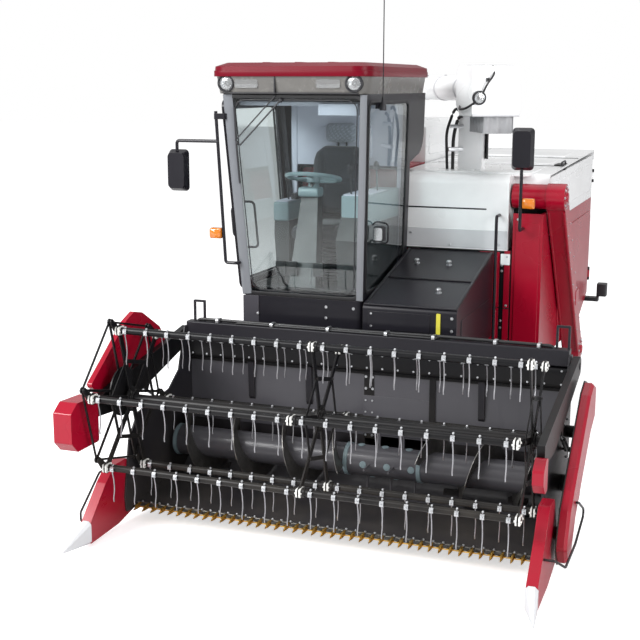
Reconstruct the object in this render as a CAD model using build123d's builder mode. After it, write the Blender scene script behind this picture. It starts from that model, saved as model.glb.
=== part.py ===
from build123d import *
import os
from math import atan2, cos, degrees, hypot, radians, sin

# Full-feed combine harvester on two rubber tracks, in millimetres.
# +Z up, the machine drives towards -Y, its left side is +X.
# The origin is on the ground under the middle of the machine's outline.

os.makedirs("parts", exist_ok=True)


def side(x):
    """Plane across the machine at x: local axes are Y and Z, extruding towards +X."""
    return Plane.YZ.offset(x)


def front(y):
    """Plane along the machine at y: local axes are X and Z, extruding towards -Y."""
    return Plane.XZ.offset(-y)


def flat(z):
    """Level plane at height z: local axes are X and Y, extruding upwards."""
    return Plane.XY.offset(z)


# ---------------------------------------------------------------- driving dimensions
tip_reach = 2800.0             # divider tips ahead of the centre
running_gap = 6.0              # between a moving piece and what it passes
seat_gap = 0.3                 # between pieces that seat on each other
pin_gap = 0.5                  # between a pin and its eye
sheet = 8.0                    # header sheet metal with its stiffening

# ---------------------------------------------------------------- tracks
belt_width = 450.0
belt_thick = 25.0
lug_height = 35.0
lug_length = 38.0
lug_count = 54
track_x = {"left": 395.0, "right": -655.0}
ground_inner = belt_thick + lug_height       # the belt's inner face over the ground
# name, station Y, height Z, radius
track_wheels = [
    ("sprocket", -620.0, 370.0, 170.0),
    ("front_roller", -330.0, ground_inner + 90.0, 90.0),
    ("rear_roller", 1180.0, ground_inner + 90.0, 90.0),
    ("idler", 1390.0, 240.0, 165.0),
]
sprocket_y, sprocket_z, sprocket_r = track_wheels[0][1:]
idler_y, idler_z, idler_r = track_wheels[3][1:]
roller_z, roller_r = track_wheels[1][2:]
roller_count = 5
roller_pitch = (track_wheels[2][1] - track_wheels[1][1]) / (roller_count - 1)
roller_stations = [track_wheels[1][1] + roller_pitch * k for k in range(roller_count)]
roller_width = 130.0
bracket_width = 60.0           # hanger between the two halves of a roller
beam_width = 90.0
beam_low = roller_z + roller_r + running_gap
beam_high = beam_low + 80.0

# Root line of the lugs: the hull of the wheels, one belt thickness out.
with BuildSketch() as lug_path:
    for _, wheel_y, wheel_z, wheel_r in track_wheels:
        with Locations((wheel_y, wheel_z)):
            Circle(wheel_r + belt_thick)
    make_hull()
lug_wire = lug_path.sketch.face().outer_wire()

for hand in ("left", "right"):
    with BuildPart() as track:
        with BuildSketch(side(track_x[hand] - belt_width / 2)):
            add(lug_path.sketch)
            for k in range(lug_count):
                spot = lug_wire.position_at(k / lug_count)
                run = lug_wire.tangent_at(k / lug_count)
                with Locations(Location((spot.X, spot.Y, 0), (0, 0, degrees(atan2(run.Y, run.X))))):
                    Rectangle(lug_length, 2 * lug_height)
        extrude(amount=belt_width)
        with BuildSketch(side(track_x[hand] - belt_width / 2)):
            for _, wheel_y, wheel_z, wheel_r in track_wheels:
                with Locations((wheel_y, wheel_z)):
                    Circle(wheel_r)
            make_hull()
        extrude(amount=belt_width, mode=Mode.SUBTRACT)
    track.part.label = hand + "_track"
    export_step(track.part, "parts/" + hand + "_track.step")

# Track beams: a box beam over the rollers, a drive sprocket and a rear idler.
sprocket_width = 60.0
wheel_half = 150.0             # half width of the idler and of the sprocket's hub
hub_r = 62.0
with BuildPart() as track_frames:
    for centre in track_x.values():
        with BuildSketch(side(centre - beam_width / 2)):
            Polygon(
                (roller_stations[0] - 100, beam_low), (roller_stations[-1], beam_low),
                (idler_y, idler_z - 45), (idler_y, idler_z + 45),
                (roller_stations[-1] - 60, beam_high), (roller_stations[0] - 100, beam_high),
                align=None,
            )
        extrude(amount=beam_width)
        for y in roller_stations:
            with BuildSketch(side(centre - bracket_width / 2)):
                with Locations((y, (roller_z + beam_low) / 2)):
                    Rectangle(64, beam_low - roller_z + 60)
            extrude(amount=bracket_width)
            for x_low in (centre - bracket_width / 2 - roller_width, centre + bracket_width / 2):
                with BuildSketch(side(x_low)):
                    with Locations((y, roller_z)):
                        RegularPolygon(roller_r - seat_gap, 16)
                extrude(amount=roller_width)
        with BuildSketch(side(centre - wheel_half)):
            with Locations((idler_y, idler_z)):
                RegularPolygon(idler_r - seat_gap, 32)
                with PolarLocations(105, 6):
                    RegularPolygon(30, 6, mode=Mode.SUBTRACT)
        extrude(amount=2 * wheel_half)
        with BuildSketch(side(centre - sprocket_width / 2)):
            with Locations((sprocket_y, sprocket_z)):
                RegularPolygon(sprocket_r - seat_gap, 32)
                with PolarLocations(115, 6):
                    RegularPolygon(26, 6, mode=Mode.SUBTRACT)
        extrude(amount=sprocket_width)
        with BuildSketch(side(centre - wheel_half)):
            with Locations((sprocket_y, sprocket_z)):
                RegularPolygon(hub_r, 16)
        extrude(amount=2 * wheel_half)
track_frames.part.label = "track_frames"
export_step(track_frames.part, "parts/track_frames.step")

# ---------------------------------------------------------------- main frame
rail_x = (-380.0, 90.0)        # right-hand face of each long rail, between the tracks
rail_width = 60.0
rail_low, rail_high = 500.0, 640.0
rail_front, rail_rear = -330.0, 2240.0
cross_stations = (-200.0, 950.0)
cross_width = 90.0
deck_low, deck_high = 640.0, 700.0
deck_left, deck_right = 790.0, -950.0
deck_stations = (-230.0, 540.0, 1320.0, 2100.0)
platform_front = -1180.0       # the cab stands on the platform's front part
cab_seat_z = 1000.0
axle_r = 70.0
axle_right, axle_left = track_x["right"] + wheel_half, track_x["left"] - wheel_half
lift_x, lift_y = 20.0, -300.0      # foot of the header's lift cylinder
lift_fork, lift_pin_r = 34.0, 15.0
tow_x, tow_y = -115.0, rail_rear + 70.0
tow_bore_r, tow_thick = 13.0, 25.0
with BuildPart() as main_frame:
    for x in rail_x:
        with BuildSketch(side(x)):
            with Locations(((rail_front + rail_rear) / 2, (rail_low + rail_high) / 2)):
                Rectangle(rail_rear - rail_front, rail_high - rail_low)
        extrude(amount=rail_width)
    beam_right, beam_left = track_x["right"] + beam_width / 2, track_x["left"] - beam_width / 2
    for y in cross_stations:
        with BuildSketch(front(y + cross_width / 2)):
            with Locations(((beam_right + beam_left) / 2, (beam_low + beam_high) / 2)):
                Rectangle(beam_left - beam_right, beam_high - beam_low)
            for x in rail_x:
                with Locations((x + rail_width / 2, (beam_low + rail_low) / 2)):
                    Rectangle(rail_width, rail_low - beam_low)
        extrude(amount=cross_width)
    # Level members that carry the cab, engine, tank and threshing body.
    for y in deck_stations:
        with BuildSketch(front(y + 30)):
            with Locations(((deck_left + deck_right) / 2, (deck_low + deck_high) / 2)):
                Rectangle(deck_left - deck_right, deck_high - deck_low)
        extrude(amount=60)
    # Platform reaching forward under the cab, with a post at each corner.
    with BuildSketch(flat(deck_low)):
        with Locations((-500, (platform_front + deck_stations[0]) / 2)):
            Rectangle(820, deck_stations[0] - platform_front)
    extrude(amount=deck_high - deck_low)
    for x in (-910.0, -150.0):
        for y in (platform_front, -300.0):
            with BuildSketch(flat(deck_low)):
                with Locations((x + 30, y + 30)):
                    Rectangle(60, 60)
            extrude(amount=cab_seat_z - deck_low)
    # Fork and pin for the foot of the header's lift cylinder.
    for x in (lift_x - lift_fork - 12, lift_x + lift_fork):
        with BuildSketch(side(x)):
            Polygon(
                (deck_stations[0] - 30, deck_low - 30), (deck_stations[0] - 30, deck_high), (lift_y - 10, deck_high - 20),
                (lift_y - 36, deck_low), (lift_y - 10, deck_low - 36), align=None,
            )
        extrude(amount=12)
    with BuildSketch(side(lift_x - lift_fork - 12)):
        with Locations((lift_y, deck_low)):
            Circle(lift_pin_r)
    extrude(amount=2 * lift_fork + 24)
    # Rear cross member with the tow plate.
    with BuildSketch(flat(rail_low + 40)):
        with Locations(((rail_x[0] + rail_x[1] + rail_width) / 2, rail_rear - 40)):
            Rectangle(rail_x[1] - rail_x[0], 80)
    extrude(amount=60)
    with BuildSketch(flat(rail_low + 40)):
        with Locations((tow_x, rail_rear + 30)):
            RectangleRounded(110, 160, 30)
        with Locations((tow_x, tow_y)):
            Circle(tow_bore_r, mode=Mode.SUBTRACT)
    extrude(amount=tow_thick)
    # Bearers under the engine and its radiator.
    for x in (-980, -800, -480):
        with BuildSketch(flat(deck_low)):
            with Locations((x + 30, (deck_stations[0] + deck_stations[1]) / 2)):
                Rectangle(60, deck_stations[1] - deck_stations[0])
        extrude(amount=deck_high - deck_low)
    # Transmission case between the rails and the shaft of the driving sprockets.
    with BuildSketch(side(-330)):
        gearcase = Polygon(
            (-790, 260), (-460, 260), (-330, 400), (-330, 620), (-440, 620), (-520, 520),
            (-730, 520), (-800, 450),
            align=None,
        )
        fillet(gearcase.vertices(), 20)
    extrude(amount=250)
    with BuildSketch(side(axle_right)):
        with Locations((sprocket_y, sprocket_z)):
            Circle(axle_r)
    extrude(amount=axle_left - axle_right)
main_frame.part.label = "main_frame"
export_step(main_frame.part, "parts/main_frame.step")

# ---------------------------------------------------------------- cab
cab_low, cab_top = 1270.0, 2560.0
cab_wall = 40.0
cab_left = (-90.0, -60.0)          # X of the left wall at the floor and under the roof
cab_right = (-912.0, -1018.0)
cab_front = (-1200.0, -1240.0)     # Y of the windscreen at the floor and under the roof
cab_rear = -230.0
overhang_rear = 100.0              # rear end of the roof and its rounded quarter
overhang_low = 2130.0
glass = 6.0
pillar = 48.0


def wall_x(ends, z):
    """X of a leaning side wall at height z."""
    return ends[0] + (ends[1] - ends[0]) * (z - cab_low) / (cab_top - cab_low)


def wall_y(z):
    """Y of the leaning windscreen at height z."""
    return wall_x(cab_front, z)


def across(low, high, inset):
    """Front outline of the cab between two heights, drawn in from both side walls."""
    return [
        (wall_x(cab_right, low) + inset, low), (wall_x(cab_left, low) - inset, low),
        (wall_x(cab_left, high) - inset, high), (wall_x(cab_right, high) + inset, high),
    ]


# Side outline: leaning front, level roof line, rounded rear quarter over a recessed rear wall.
with BuildSketch() as cab_outline:
    with BuildLine():
        Polyline(
            (cab_rear, overhang_low - 40), (cab_rear, cab_low), (cab_front[0], cab_low),
            (cab_front[1], cab_top), (overhang_rear, cab_top), (overhang_rear, overhang_low + 160),
        )
        ThreePointArc(
            (overhang_rear, overhang_low + 160), (overhang_rear - 47, overhang_low + 47),
            (overhang_rear - 160, overhang_low),
        )
        Line((overhang_rear - 160, overhang_low), (cab_rear, overhang_low - 40))
    make_face()
with BuildSketch() as cab_inside:
    offset(cab_outline.sketch, amount=-cab_wall, kind=Kind.INTERSECTION)

with BuildPart() as cab_cavity:
    with BuildSketch(side(-1200)):
        add(cab_inside.sketch)
    extrude(amount=1400)
    with BuildSketch(front(200)):
        Polygon(*across(cab_low + cab_wall, cab_top - cab_wall, cab_wall), align=None)
    extrude(amount=1600, mode=Mode.INTERSECT)

opening_low, opening_high = cab_low + 45.0, cab_top - 55.0
opening_rear = cab_rear - 90.0


def side_opening(inset):
    """Corners of the door opening and of the left window, drawn in by inset."""
    return [
        (wall_y(opening_low) + pillar + inset, opening_low + inset),
        (wall_y(opening_high) + pillar + inset, opening_high - inset),
        (opening_rear - inset, opening_high - inset), (opening_rear - inset, opening_low + inset),
    ]


screen_low, screen_high = cab_low + 12.0, cab_top - 14.0
screen_inset = 14.0
rear_window = (-880.0, -150.0, 1700.0, 2050.0)      # X and Z of its corners
corner_r = 50.0
hinge_r, hinge_length, lug_length_z = 13.0, 60.0, 26.0
door_gap, door_thick = running_gap, 30.0
door_hinge_z = (1500.0, 2330.0)
door_hinge_y = opening_rear + 78.0


def door_hinge(z):
    """Plane at height z on the door's leaning hinge line: z along the pin, x inward."""
    lean = Vector(cab_right[1] - cab_right[0], 0, cab_top - cab_low).normalized()
    middle = (wall_x(cab_right, z) - door_gap - door_thick, door_hinge_y, z)
    return Plane(origin=middle, x_dir=(lean.Z, 0, -lean.X), z_dir=lean)


with BuildPart() as cab_shell:
    with BuildSketch(side(-1200)):
        add(cab_outline.sketch)
    extrude(amount=1400)
    with BuildSketch(front(200)):
        Polygon(*across(cab_low, cab_top, 0), align=None)
    extrude(amount=1600, mode=Mode.INTERSECT)
    add(cab_cavity.part, mode=Mode.SUBTRACT)
    with BuildSketch(front(-1100)):
        screen_hole = Polygon(*across(screen_low, screen_high, screen_inset), align=None)
        fillet(screen_hole.vertices(), corner_r)
    extrude(amount=200, mode=Mode.SUBTRACT)
    with BuildSketch(side(-1200)):
        side_hole = Polygon(*side_opening(0), align=None)
        fillet(side_hole.vertices(), corner_r)
    extrude(amount=1400, mode=Mode.SUBTRACT)
    with BuildSketch(front(cab_rear + 20)):
        with Locations(((rear_window[0] + rear_window[1]) / 2, (rear_window[2] + rear_window[3]) / 2)):
            RectangleRounded(rear_window[1] - rear_window[0], rear_window[3] - rear_window[2], corner_r)
    extrude(amount=80, mode=Mode.SUBTRACT)
    # Hinge lugs above and below each door knuckle, strapped to the right wall.
    for z in door_hinge_z:
        for up in (-1, 1):
            shift = up * (hinge_length + lug_length_z + 2 * pin_gap) / 2
            with BuildSketch(door_hinge(z).offset(shift - lug_length_z / 2)):
                Circle(hinge_r)
                with Locations(((door_gap + door_thick) / 2 + 4, 0)):
                    Rectangle(door_gap + door_thick + 8, 12)
            extrude(amount=lug_length_z)
cab_shell.part.label = "cab_shell"
export_step(cab_shell.part, "parts/cab_shell.step")

with BuildPart() as windscreen:
    with BuildSketch(side(-1200)):
        Polygon(
            (wall_y(screen_low), screen_low), (wall_y(screen_high), screen_high),
            (wall_y(screen_high) + glass, screen_high), (wall_y(screen_low) + glass, screen_low),
            align=None,
        )
    extrude(amount=1400)
    with BuildSketch(front(-1100)):
        pane = Polygon(
            *across(screen_low + seat_gap, screen_high - seat_gap, screen_inset + seat_gap), align=None
        )
        fillet(pane.vertices(), corner_r - seat_gap)
    extrude(amount=200, mode=Mode.INTERSECT)

with BuildPart() as left_pane:
    with BuildSketch(front(200)):
        Polygon(
            (wall_x(cab_left, opening_low) - 2, opening_low), (wall_x(cab_left, opening_high) - 2, opening_high),
            (wall_x(cab_left, opening_high) - 2 - glass, opening_high),
            (wall_x(cab_left, opening_low) - 2 - glass, opening_low),
            align=None,
        )
    extrude(amount=1600)
    with BuildSketch(side(-200)):
        pane = Polygon(*side_opening(seat_gap), align=None)
        fillet(pane.vertices(), corner_r - seat_gap)
    extrude(amount=400, mode=Mode.INTERSECT)
with BuildPart() as cab_glass:
    add(windscreen.part)
    add(left_pane.part)
    with BuildSketch(front(cab_rear - 2)):
        with Locations(((rear_window[0] + rear_window[1]) / 2, (rear_window[2] + rear_window[3]) / 2)):
            RectangleRounded(
                rear_window[1] - rear_window[0] - 2 * seat_gap,
                rear_window[3] - rear_window[2] - 2 * seat_gap, corner_r - seat_gap,
            )
    extrude(amount=glass)
cab_glass.part.label = "cab_glass"
export_step(cab_glass.part, "parts/cab_glass.step")

# Door: laid over the right wall, turning on a hinge line that leans with the wall.
door_overlap = 16.0
frame_width = 52.0


def door_slab(inset, inner, outer):
    """Front outline of a leaning slab beside the right wall, between two distances from it."""
    low, high = opening_low - door_overlap + inset, opening_high + door_overlap - inset
    return [
        (wall_x(cab_right, low) - inner, low), (wall_x(cab_right, high) - inner, high),
        (wall_x(cab_right, high) - outer, high), (wall_x(cab_right, low) - outer, low),
    ]


with BuildPart() as cab_door:
    with BuildSketch(front(200)):
        Polygon(*door_slab(0, door_gap, door_gap + door_thick), align=None)
    extrude(amount=1600)
    with BuildSketch(side(-1200)):
        door_edge = Polygon(*side_opening(-door_overlap), align=None)
        fillet(door_edge.vertices(), corner_r)
    extrude(amount=600, mode=Mode.INTERSECT)
    with BuildSketch(side(-1200)):
        door_hole = Polygon(*side_opening(frame_width - door_overlap), align=None)
        fillet(door_hole.vertices(), corner_r)
    extrude(amount=600, mode=Mode.SUBTRACT)
    for z in door_hinge_z:
        with BuildSketch(door_hinge(z).offset(-hinge_length / 2)):
            Circle(hinge_r)
            with Locations((0, -(door_hinge_y - opening_rear - door_overlap + 10) / 2)):
                Rectangle(10, door_hinge_y - opening_rear - door_overlap + 10)
        extrude(amount=hinge_length)
cab_door.part.label = "cab_door"
export_step(cab_door.part, "parts/cab_door.step")

with BuildPart() as door_glass:
    with BuildSketch(front(200)):
        middle = door_gap + door_thick / 2
        Polygon(*door_slab(0, middle, middle + glass), align=None)
    extrude(amount=1600)
    with BuildSketch(side(-1200)):
        pane = Polygon(*side_opening(frame_width - door_overlap + seat_gap), align=None)
        fillet(pane.vertices(), corner_r - seat_gap)
    extrude(amount=600, mode=Mode.INTERSECT)
door_glass.part.label = "door_glass"
export_step(door_glass.part, "parts/door_glass.step")

# Roof: a crowned red cap over a grey fascia with the lamp housings at its front corners.
fascia_height = 130.0
cap_low = cab_top + fascia_height
roof_right, roof_left = -1092.0, -30.0
roof_front, roof_rear = -1290.0, 130.0
roof_middle = ((roof_right + roof_left) / 2, (roof_front + roof_rear) / 2)
roof_width, roof_depth = roof_left - roof_right, roof_rear - roof_front
with BuildPart() as cab_roof:
    with BuildSketch(flat(cap_low)):
        with Locations(roof_middle):
            RectangleRounded(roof_width, roof_depth, 110)
    with BuildSketch(flat(cap_low + 38)):
        with Locations(roof_middle):
            RectangleRounded(roof_width - 10, roof_depth - 10, 105)
    loft()
    with BuildSketch(flat(cap_low + 38)):
        with Locations(roof_middle):
            RectangleRounded(roof_width - 10, roof_depth - 10, 105)
    with BuildSketch(flat(cap_low + 62)):
        with Locations(roof_middle):
            RectangleRounded(roof_width - 130, roof_depth - 150, 80)
    loft()
cab_roof.part.label = "cab_roof"
export_step(cab_roof.part, "parts/cab_roof.step")

lamp_r = 46.0
lamp_x = (-985.0, -135.0)
with BuildPart() as roof_fascia:
    with BuildSketch(flat(cab_top)):
        with Locations(roof_middle):
            RectangleRounded(roof_width - 60, roof_depth - 60, 90)
    with BuildSketch(flat(cap_low)):
        with Locations(roof_middle):
            RectangleRounded(roof_width - 16, roof_depth - 16, 105)
    loft()
    for x in lamp_x:
        with BuildSketch(front(roof_front + 60)):
            with Locations((x, cab_top + fascia_height / 2)):
                Circle(lamp_r + 8)
        extrude(amount=60, mode=Mode.SUBTRACT)
roof_fascia.part.label = "roof_fascia"
export_step(roof_fascia.part, "parts/roof_fascia.step")

# Plinth under the cab: the black panel below the windscreen and its sides.
plinth_wall = 20.0
with BuildPart() as cab_base:
    with BuildSketch(flat(cab_seat_z)):
        with Locations(((cab_right[0] + cab_left[0]) / 2, (cab_front[0] + cab_rear) / 2)):
            RectangleRounded(cab_left[0] - cab_right[0], cab_rear - cab_front[0], 40)
            Rectangle(
                cab_left[0] - cab_right[0] - 2 * plinth_wall, cab_rear - cab_front[0] - 2 * plinth_wall,
                mode=Mode.SUBTRACT,
            )
    extrude(amount=cab_low - cab_seat_z)
    with BuildSketch(flat(cab_low - plinth_wall)):
        with Locations(((cab_right[0] + cab_left[0]) / 2, (cab_front[0] + cab_rear) / 2)):
            Rectangle(cab_left[0] - cab_right[0] - 40, cab_rear - cab_front[0] - 40)
    extrude(amount=plinth_wall)
cab_base.part.label = "cab_base"
export_step(cab_base.part, "parts/cab_base.step")

# ---------------------------------------------------------------- inside the cab
seat_x, seat_y = -530.0, -560.0
floor_z = cab_low + cab_wall
cushion_z = floor_z + 330.0
with BuildPart() as operator_seat:
    with BuildSketch(flat(floor_z)):
        with Locations((seat_x, seat_y)):
            RectangleRounded(360, 360, 40)
    extrude(amount=250)
    with BuildSketch(side(seat_x - 225)):
        cushion = Polygon(
            (-820, floor_z + 250), (-360, floor_z + 250), (-340, cushion_z + 40), (-800, cushion_z + 60),
            (-840, cushion_z + 20),
            align=None,
        )
        fillet(cushion.vertices(), 24)
    extrude(amount=450)
    with BuildSketch(side(seat_x - 215)):
        backrest = Polygon(
            (-440, cushion_z + 20), (-350, cushion_z), (-290, cushion_z + 560), (-390, cushion_z + 580),
            align=None,
        )
        fillet(backrest.vertices(), 30)
    extrude(amount=430)
    with BuildSketch(side(seat_x - 130)):
        headrest = Polygon(
            (-385, cushion_z + 560), (-300, cushion_z + 550), (-285, cushion_z + 720), (-370, cushion_z + 730),
            align=None,
        )
        fillet(headrest.vertices(), 30)
    extrude(amount=260)
operator_seat.part.label = "operator_seat"
export_step(operator_seat.part, "parts/operator_seat.step")

# Steering column, dash and the lever console on the operator's left.
column_top = Vector(seat_x, -915, 1985)
column_foot = Vector(seat_x, -1060, floor_z)
column_dir = (column_top - column_foot).normalized()
column_plane = Plane(origin=column_foot, x_dir=(1, 0, 0), z_dir=column_dir)
column_length = (column_top - column_foot).length
with BuildPart() as control_console:
    with BuildSketch(side(-300)):
        console = Polygon(
            (-1080, floor_z), (-300, floor_z), (-300, 1900), (-620, 1920), (-1000, 1800), (-1120, 1640),
            align=None,
        )
        fillet(console.vertices().group_by(Axis.Y)[-1], 40)
    extrude(amount=165)
    with BuildSketch(side(-900)):
        Polygon((-700, floor_z), (-330, floor_z), (-330, 1830), (-680, 1800), align=None)
    extrude(amount=110)
    with BuildSketch(column_plane):
        Rectangle(190, 130)
    with BuildSketch(column_plane.offset(column_length - 60)):
        Rectangle(110, 90)
    loft(ruled=True)
    with BuildSketch(column_plane.offset(column_length - 60)):
        Circle(22)
    extrude(amount=60 - seat_gap)
    add(cab_cavity.part, mode=Mode.INTERSECT)
control_console.part.label = "control_console"
export_step(control_console.part, "parts/control_console.step")

wheel_rim_r, wheel_tube_r = 175.0, 14.0
rim_plane = column_plane.offset(column_length + 35)
with BuildPart() as steering_wheel:
    with BuildSketch(Plane(origin=rim_plane.origin, x_dir=(1, 0, 0), z_dir=rim_plane.y_dir)):
        with Locations((wheel_rim_r, 0)):
            RegularPolygon(wheel_tube_r, 6)
    revolve(axis=Axis(rim_plane.origin, rim_plane.z_dir))
    with BuildSketch(column_plane.offset(column_length)):
        Circle(42)
    extrude(amount=44)
    with BuildSketch(rim_plane.offset(-6)):
        for turn in (30, 150, 270):
            with Locations(Location((0, 0, 0), (0, 0, turn))):
                with Locations(((wheel_rim_r - 4) / 2, 0)):
                    Rectangle(wheel_rim_r - 4, 24)
    extrude(amount=12)
steering_wheel.part.label = "steering_wheel"
export_step(steering_wheel.part, "parts/steering_wheel.step")

# ---------------------------------------------------------------- threshing body
body_right, body_left = -50.0, 790.0
body_front, body_rear = 0.0, 2240.0
body_low, body_top = deck_high, 1985.0
body_wall = 40.0
feeder_x = (-40.0, 400.0)          # outer faces of the feeder house
pivot_y, pivot_z = -100.0, 1250.0  # the header and its feeder house swing about this line
pivot_r = 30.0
with BuildPart() as body_block:
    with BuildSketch(side(body_right)):
        body_side = Polygon(
            (body_front, body_low), (body_rear, body_low), (body_rear, body_top), (body_front, body_top),
            align=None,
        )
    extrude(amount=body_left - body_right)
    # Space of the drum and sieves inside.
    with BuildSketch(side(body_right + body_wall)):
        with Locations(((body_front + body_rear) / 2, (body_low + body_top) / 2)):
            Rectangle(body_rear - body_front - 2 * body_wall, body_top - body_low - 2 * body_wall)
    extrude(amount=body_left - body_right - 2 * body_wall, mode=Mode.SUBTRACT)
    # Dark bay ahead of the body behind the red front panels.
    with BuildSketch(side(440)):
        Polygon((-180, body_low), (body_front, body_low), (body_front, 1500), (-180, 1500), align=None)
    extrude(amount=body_left - 440)
    # Bearing plates and the cross shaft that the feeder house hangs on.
    for x in (feeder_x[0] - running_gap - 10, feeder_x[1] + running_gap):
        with BuildSketch(side(x)):
            Polygon(
                (body_front, pivot_z - 110), (body_front, pivot_z + 110), (pivot_y - 40, pivot_z + 60),
                (pivot_y - 60, pivot_z), (pivot_y - 40, pivot_z - 60),
                align=None,
            )
        extrude(amount=10)
    with BuildSketch(side(feeder_x[0] - running_gap)):
        with Locations((pivot_y, pivot_z)):
            Circle(pivot_r)
    extrude(amount=feeder_x[1] - feeder_x[0] + 2 * running_gap)

# White hood over the threshing body: a folded sheet with a rounded front shoulder.
hood_right, hood_front_left, hood_left = -172.0, 622.0, 862.0
hood_front, hood_low = -200.0, 1500.0
hood_shoulder, hood_rear_z = 2015.0, 2070.0
hood_wall = 12.0
shoulder_r = 70.0
with BuildPart() as thresher_cover:
    # right and left X of each strip, Y of its front wall, lowest Z of that wall
    for right, left, start, low in (
        (hood_right, hood_front_left, hood_front, hood_low), (hood_front_left, hood_left, -30.0, 1930.0),
    ):
        with BuildSketch(side(right)) as hood_fold:
            Polygon(
                (start, low), (start + hood_wall, low),
                (start + hood_wall, hood_shoulder - hood_wall), (body_rear, hood_rear_z - hood_wall),
                (body_rear, hood_rear_z), (start, hood_shoulder),
                align=None,
            )
            fillet(hood_fold.vertices().sort_by_distance((start, hood_shoulder))[0], shoulder_r)
            inner_corner = (start + hood_wall, hood_shoulder - hood_wall)
            fillet(hood_fold.vertices().sort_by_distance(inner_corner)[0], shoulder_r - hood_wall)
        extrude(amount=left - right)
    # Side closers of the front shoulder and the rear closing strip.
    for x in (hood_right, hood_front_left - hood_wall):
        with BuildSketch(side(x)):
            closer = Polygon(
                (hood_front, hood_low), (body_front - 10, hood_low), (body_front - 10, hood_shoulder),
                (hood_front, hood_shoulder),
                align=None,
            )
            fillet(closer.vertices().sort_by_distance((hood_front, hood_shoulder))[0], shoulder_r)
        extrude(amount=hood_wall)
    with BuildSketch(front(body_rear)):
        Polygon(
            (hood_right, body_top + seat_gap), (hood_left, body_top + seat_gap), (hood_left, hood_rear_z - hood_wall),
            (hood_right, hood_rear_z - hood_wall), align=None,
        )
    extrude(amount=hood_wall)
thresher_cover.part.label = "thresher_cover"
export_step(thresher_cover.part, "parts/thresher_cover.step")

# Return elevator: a square tube that climbs forward outside the left wall to its head drum.
tube_half = 72.0
tube_x, tube_width = 868.0, 124.0
tube_seat = 860.0 + seat_gap                # outside of the wall panels
tube_foot, tube_head = Vector(950, 600), Vector(-95, 1870)     # Y and Z of its end sprockets
tube_run = (tube_head - tube_foot).normalized()
tube_side = Vector(-tube_run.Y, tube_run.X) * tube_half
with BuildPart() as return_elevator:
    with BuildSketch(side(tube_x)):
        Polygon(
            *[(p.X, p.Y) for p in (
                tube_foot + tube_side, tube_foot - tube_side, tube_head - tube_side, tube_head + tube_side,
            )],
            align=None,
        )
        for end, r in ((tube_foot, 95.0), (tube_head, 92.0)):
            with Locations((end.X, end.Y)):
                Circle(r)
    extrude(amount=tube_width)
    with BuildSketch(side(hood_front_left + 12)):
        with Locations((tube_head.X, tube_head.Y)):
            Circle(84)
    extrude(amount=tube_x - hood_front_left - 12)
    # Flange that holds the foot of the tube to the machine's wall.
    with BuildSketch(side(tube_seat)):
        with Locations((tube_foot.X - 40, tube_foot.Y + 190)):
            Rectangle(170, 60)
    extrude(amount=tube_x - tube_seat)
return_elevator.part.label = "return_elevator"
export_step(return_elevator.part, "parts/return_elevator.step")

# Left side: the door panel's front edge follows the elevator, a fixed red panel fills the rest.
cover_x, cover_thick = 838.0, 22.0
cover_rear, cover_split = 2196.0, 1670.0
cover_top = 1990.0
edge_slope = tube_run.X / tube_run.Y       # change of Y for each unit of height along the elevator


def edge_y(z, shift):
    """Y of a line beside the elevator at height z, shifted rearwards from its axis."""
    return tube_foot.X + (z - tube_foot.Y) * edge_slope + shift


cover_edge = 60.0
cover_front = tube_head.X + 114.0          # upright front edge of the white panel, behind the head drum
cover_hinge_z = (1000.0, 1850.0)
cover_hinge = (cover_x + cover_thick, cover_rear + 24.0)
with BuildPart() as side_cover:
    with BuildSketch(side(cover_x)):
        skirt = Polygon(
            (edge_y(560, cover_edge), 560), (1240, 530), (cover_rear, 840), (cover_rear, cover_split - 1),
            (edge_y(cover_split, cover_edge), cover_split - 1),
            align=None,
        )
        fillet(skirt.vertices().group_by(Axis.X)[0], 12)
    extrude(amount=cover_thick)
    with BuildSketch(flat(cover_hinge_z[0] - hinge_length / 2)):
        with Locations(cover_hinge):
            Circle(hinge_r)
        Polygon(
            (cover_hinge[0] - 10, cover_rear), (cover_hinge[0], cover_rear), (cover_hinge[0], cover_hinge[1]),
            (cover_hinge[0] - 10, cover_hinge[1]), align=None,
        )
    extrude(amount=hinge_length)
side_cover.part.label = "side_cover"
export_step(side_cover.part, "parts/side_cover.step")

with BuildPart() as side_cover_top:
    with BuildSketch(side(cover_x)):
        upper = Polygon(
            (edge_y(cover_split, cover_edge), cover_split), (cover_rear, cover_split), (cover_rear, cover_top + 40),
            (cover_front, cover_top), (cover_front, cover_split + 110),
            align=None,
        )
    extrude(amount=cover_thick)
    with BuildSketch(flat(cover_hinge_z[1] - hinge_length / 2)):
        with Locations(cover_hinge):
            Circle(hinge_r)
        Polygon(
            (cover_hinge[0] - 10, cover_rear), (cover_hinge[0], cover_rear), (cover_hinge[0], cover_hinge[1]),
            (cover_hinge[0] - 10, cover_hinge[1]), align=None,
        )
    extrude(amount=hinge_length)
side_cover_top.part.label = "side_cover_top"
export_step(side_cover_top.part, "parts/side_cover_top.step")

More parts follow.
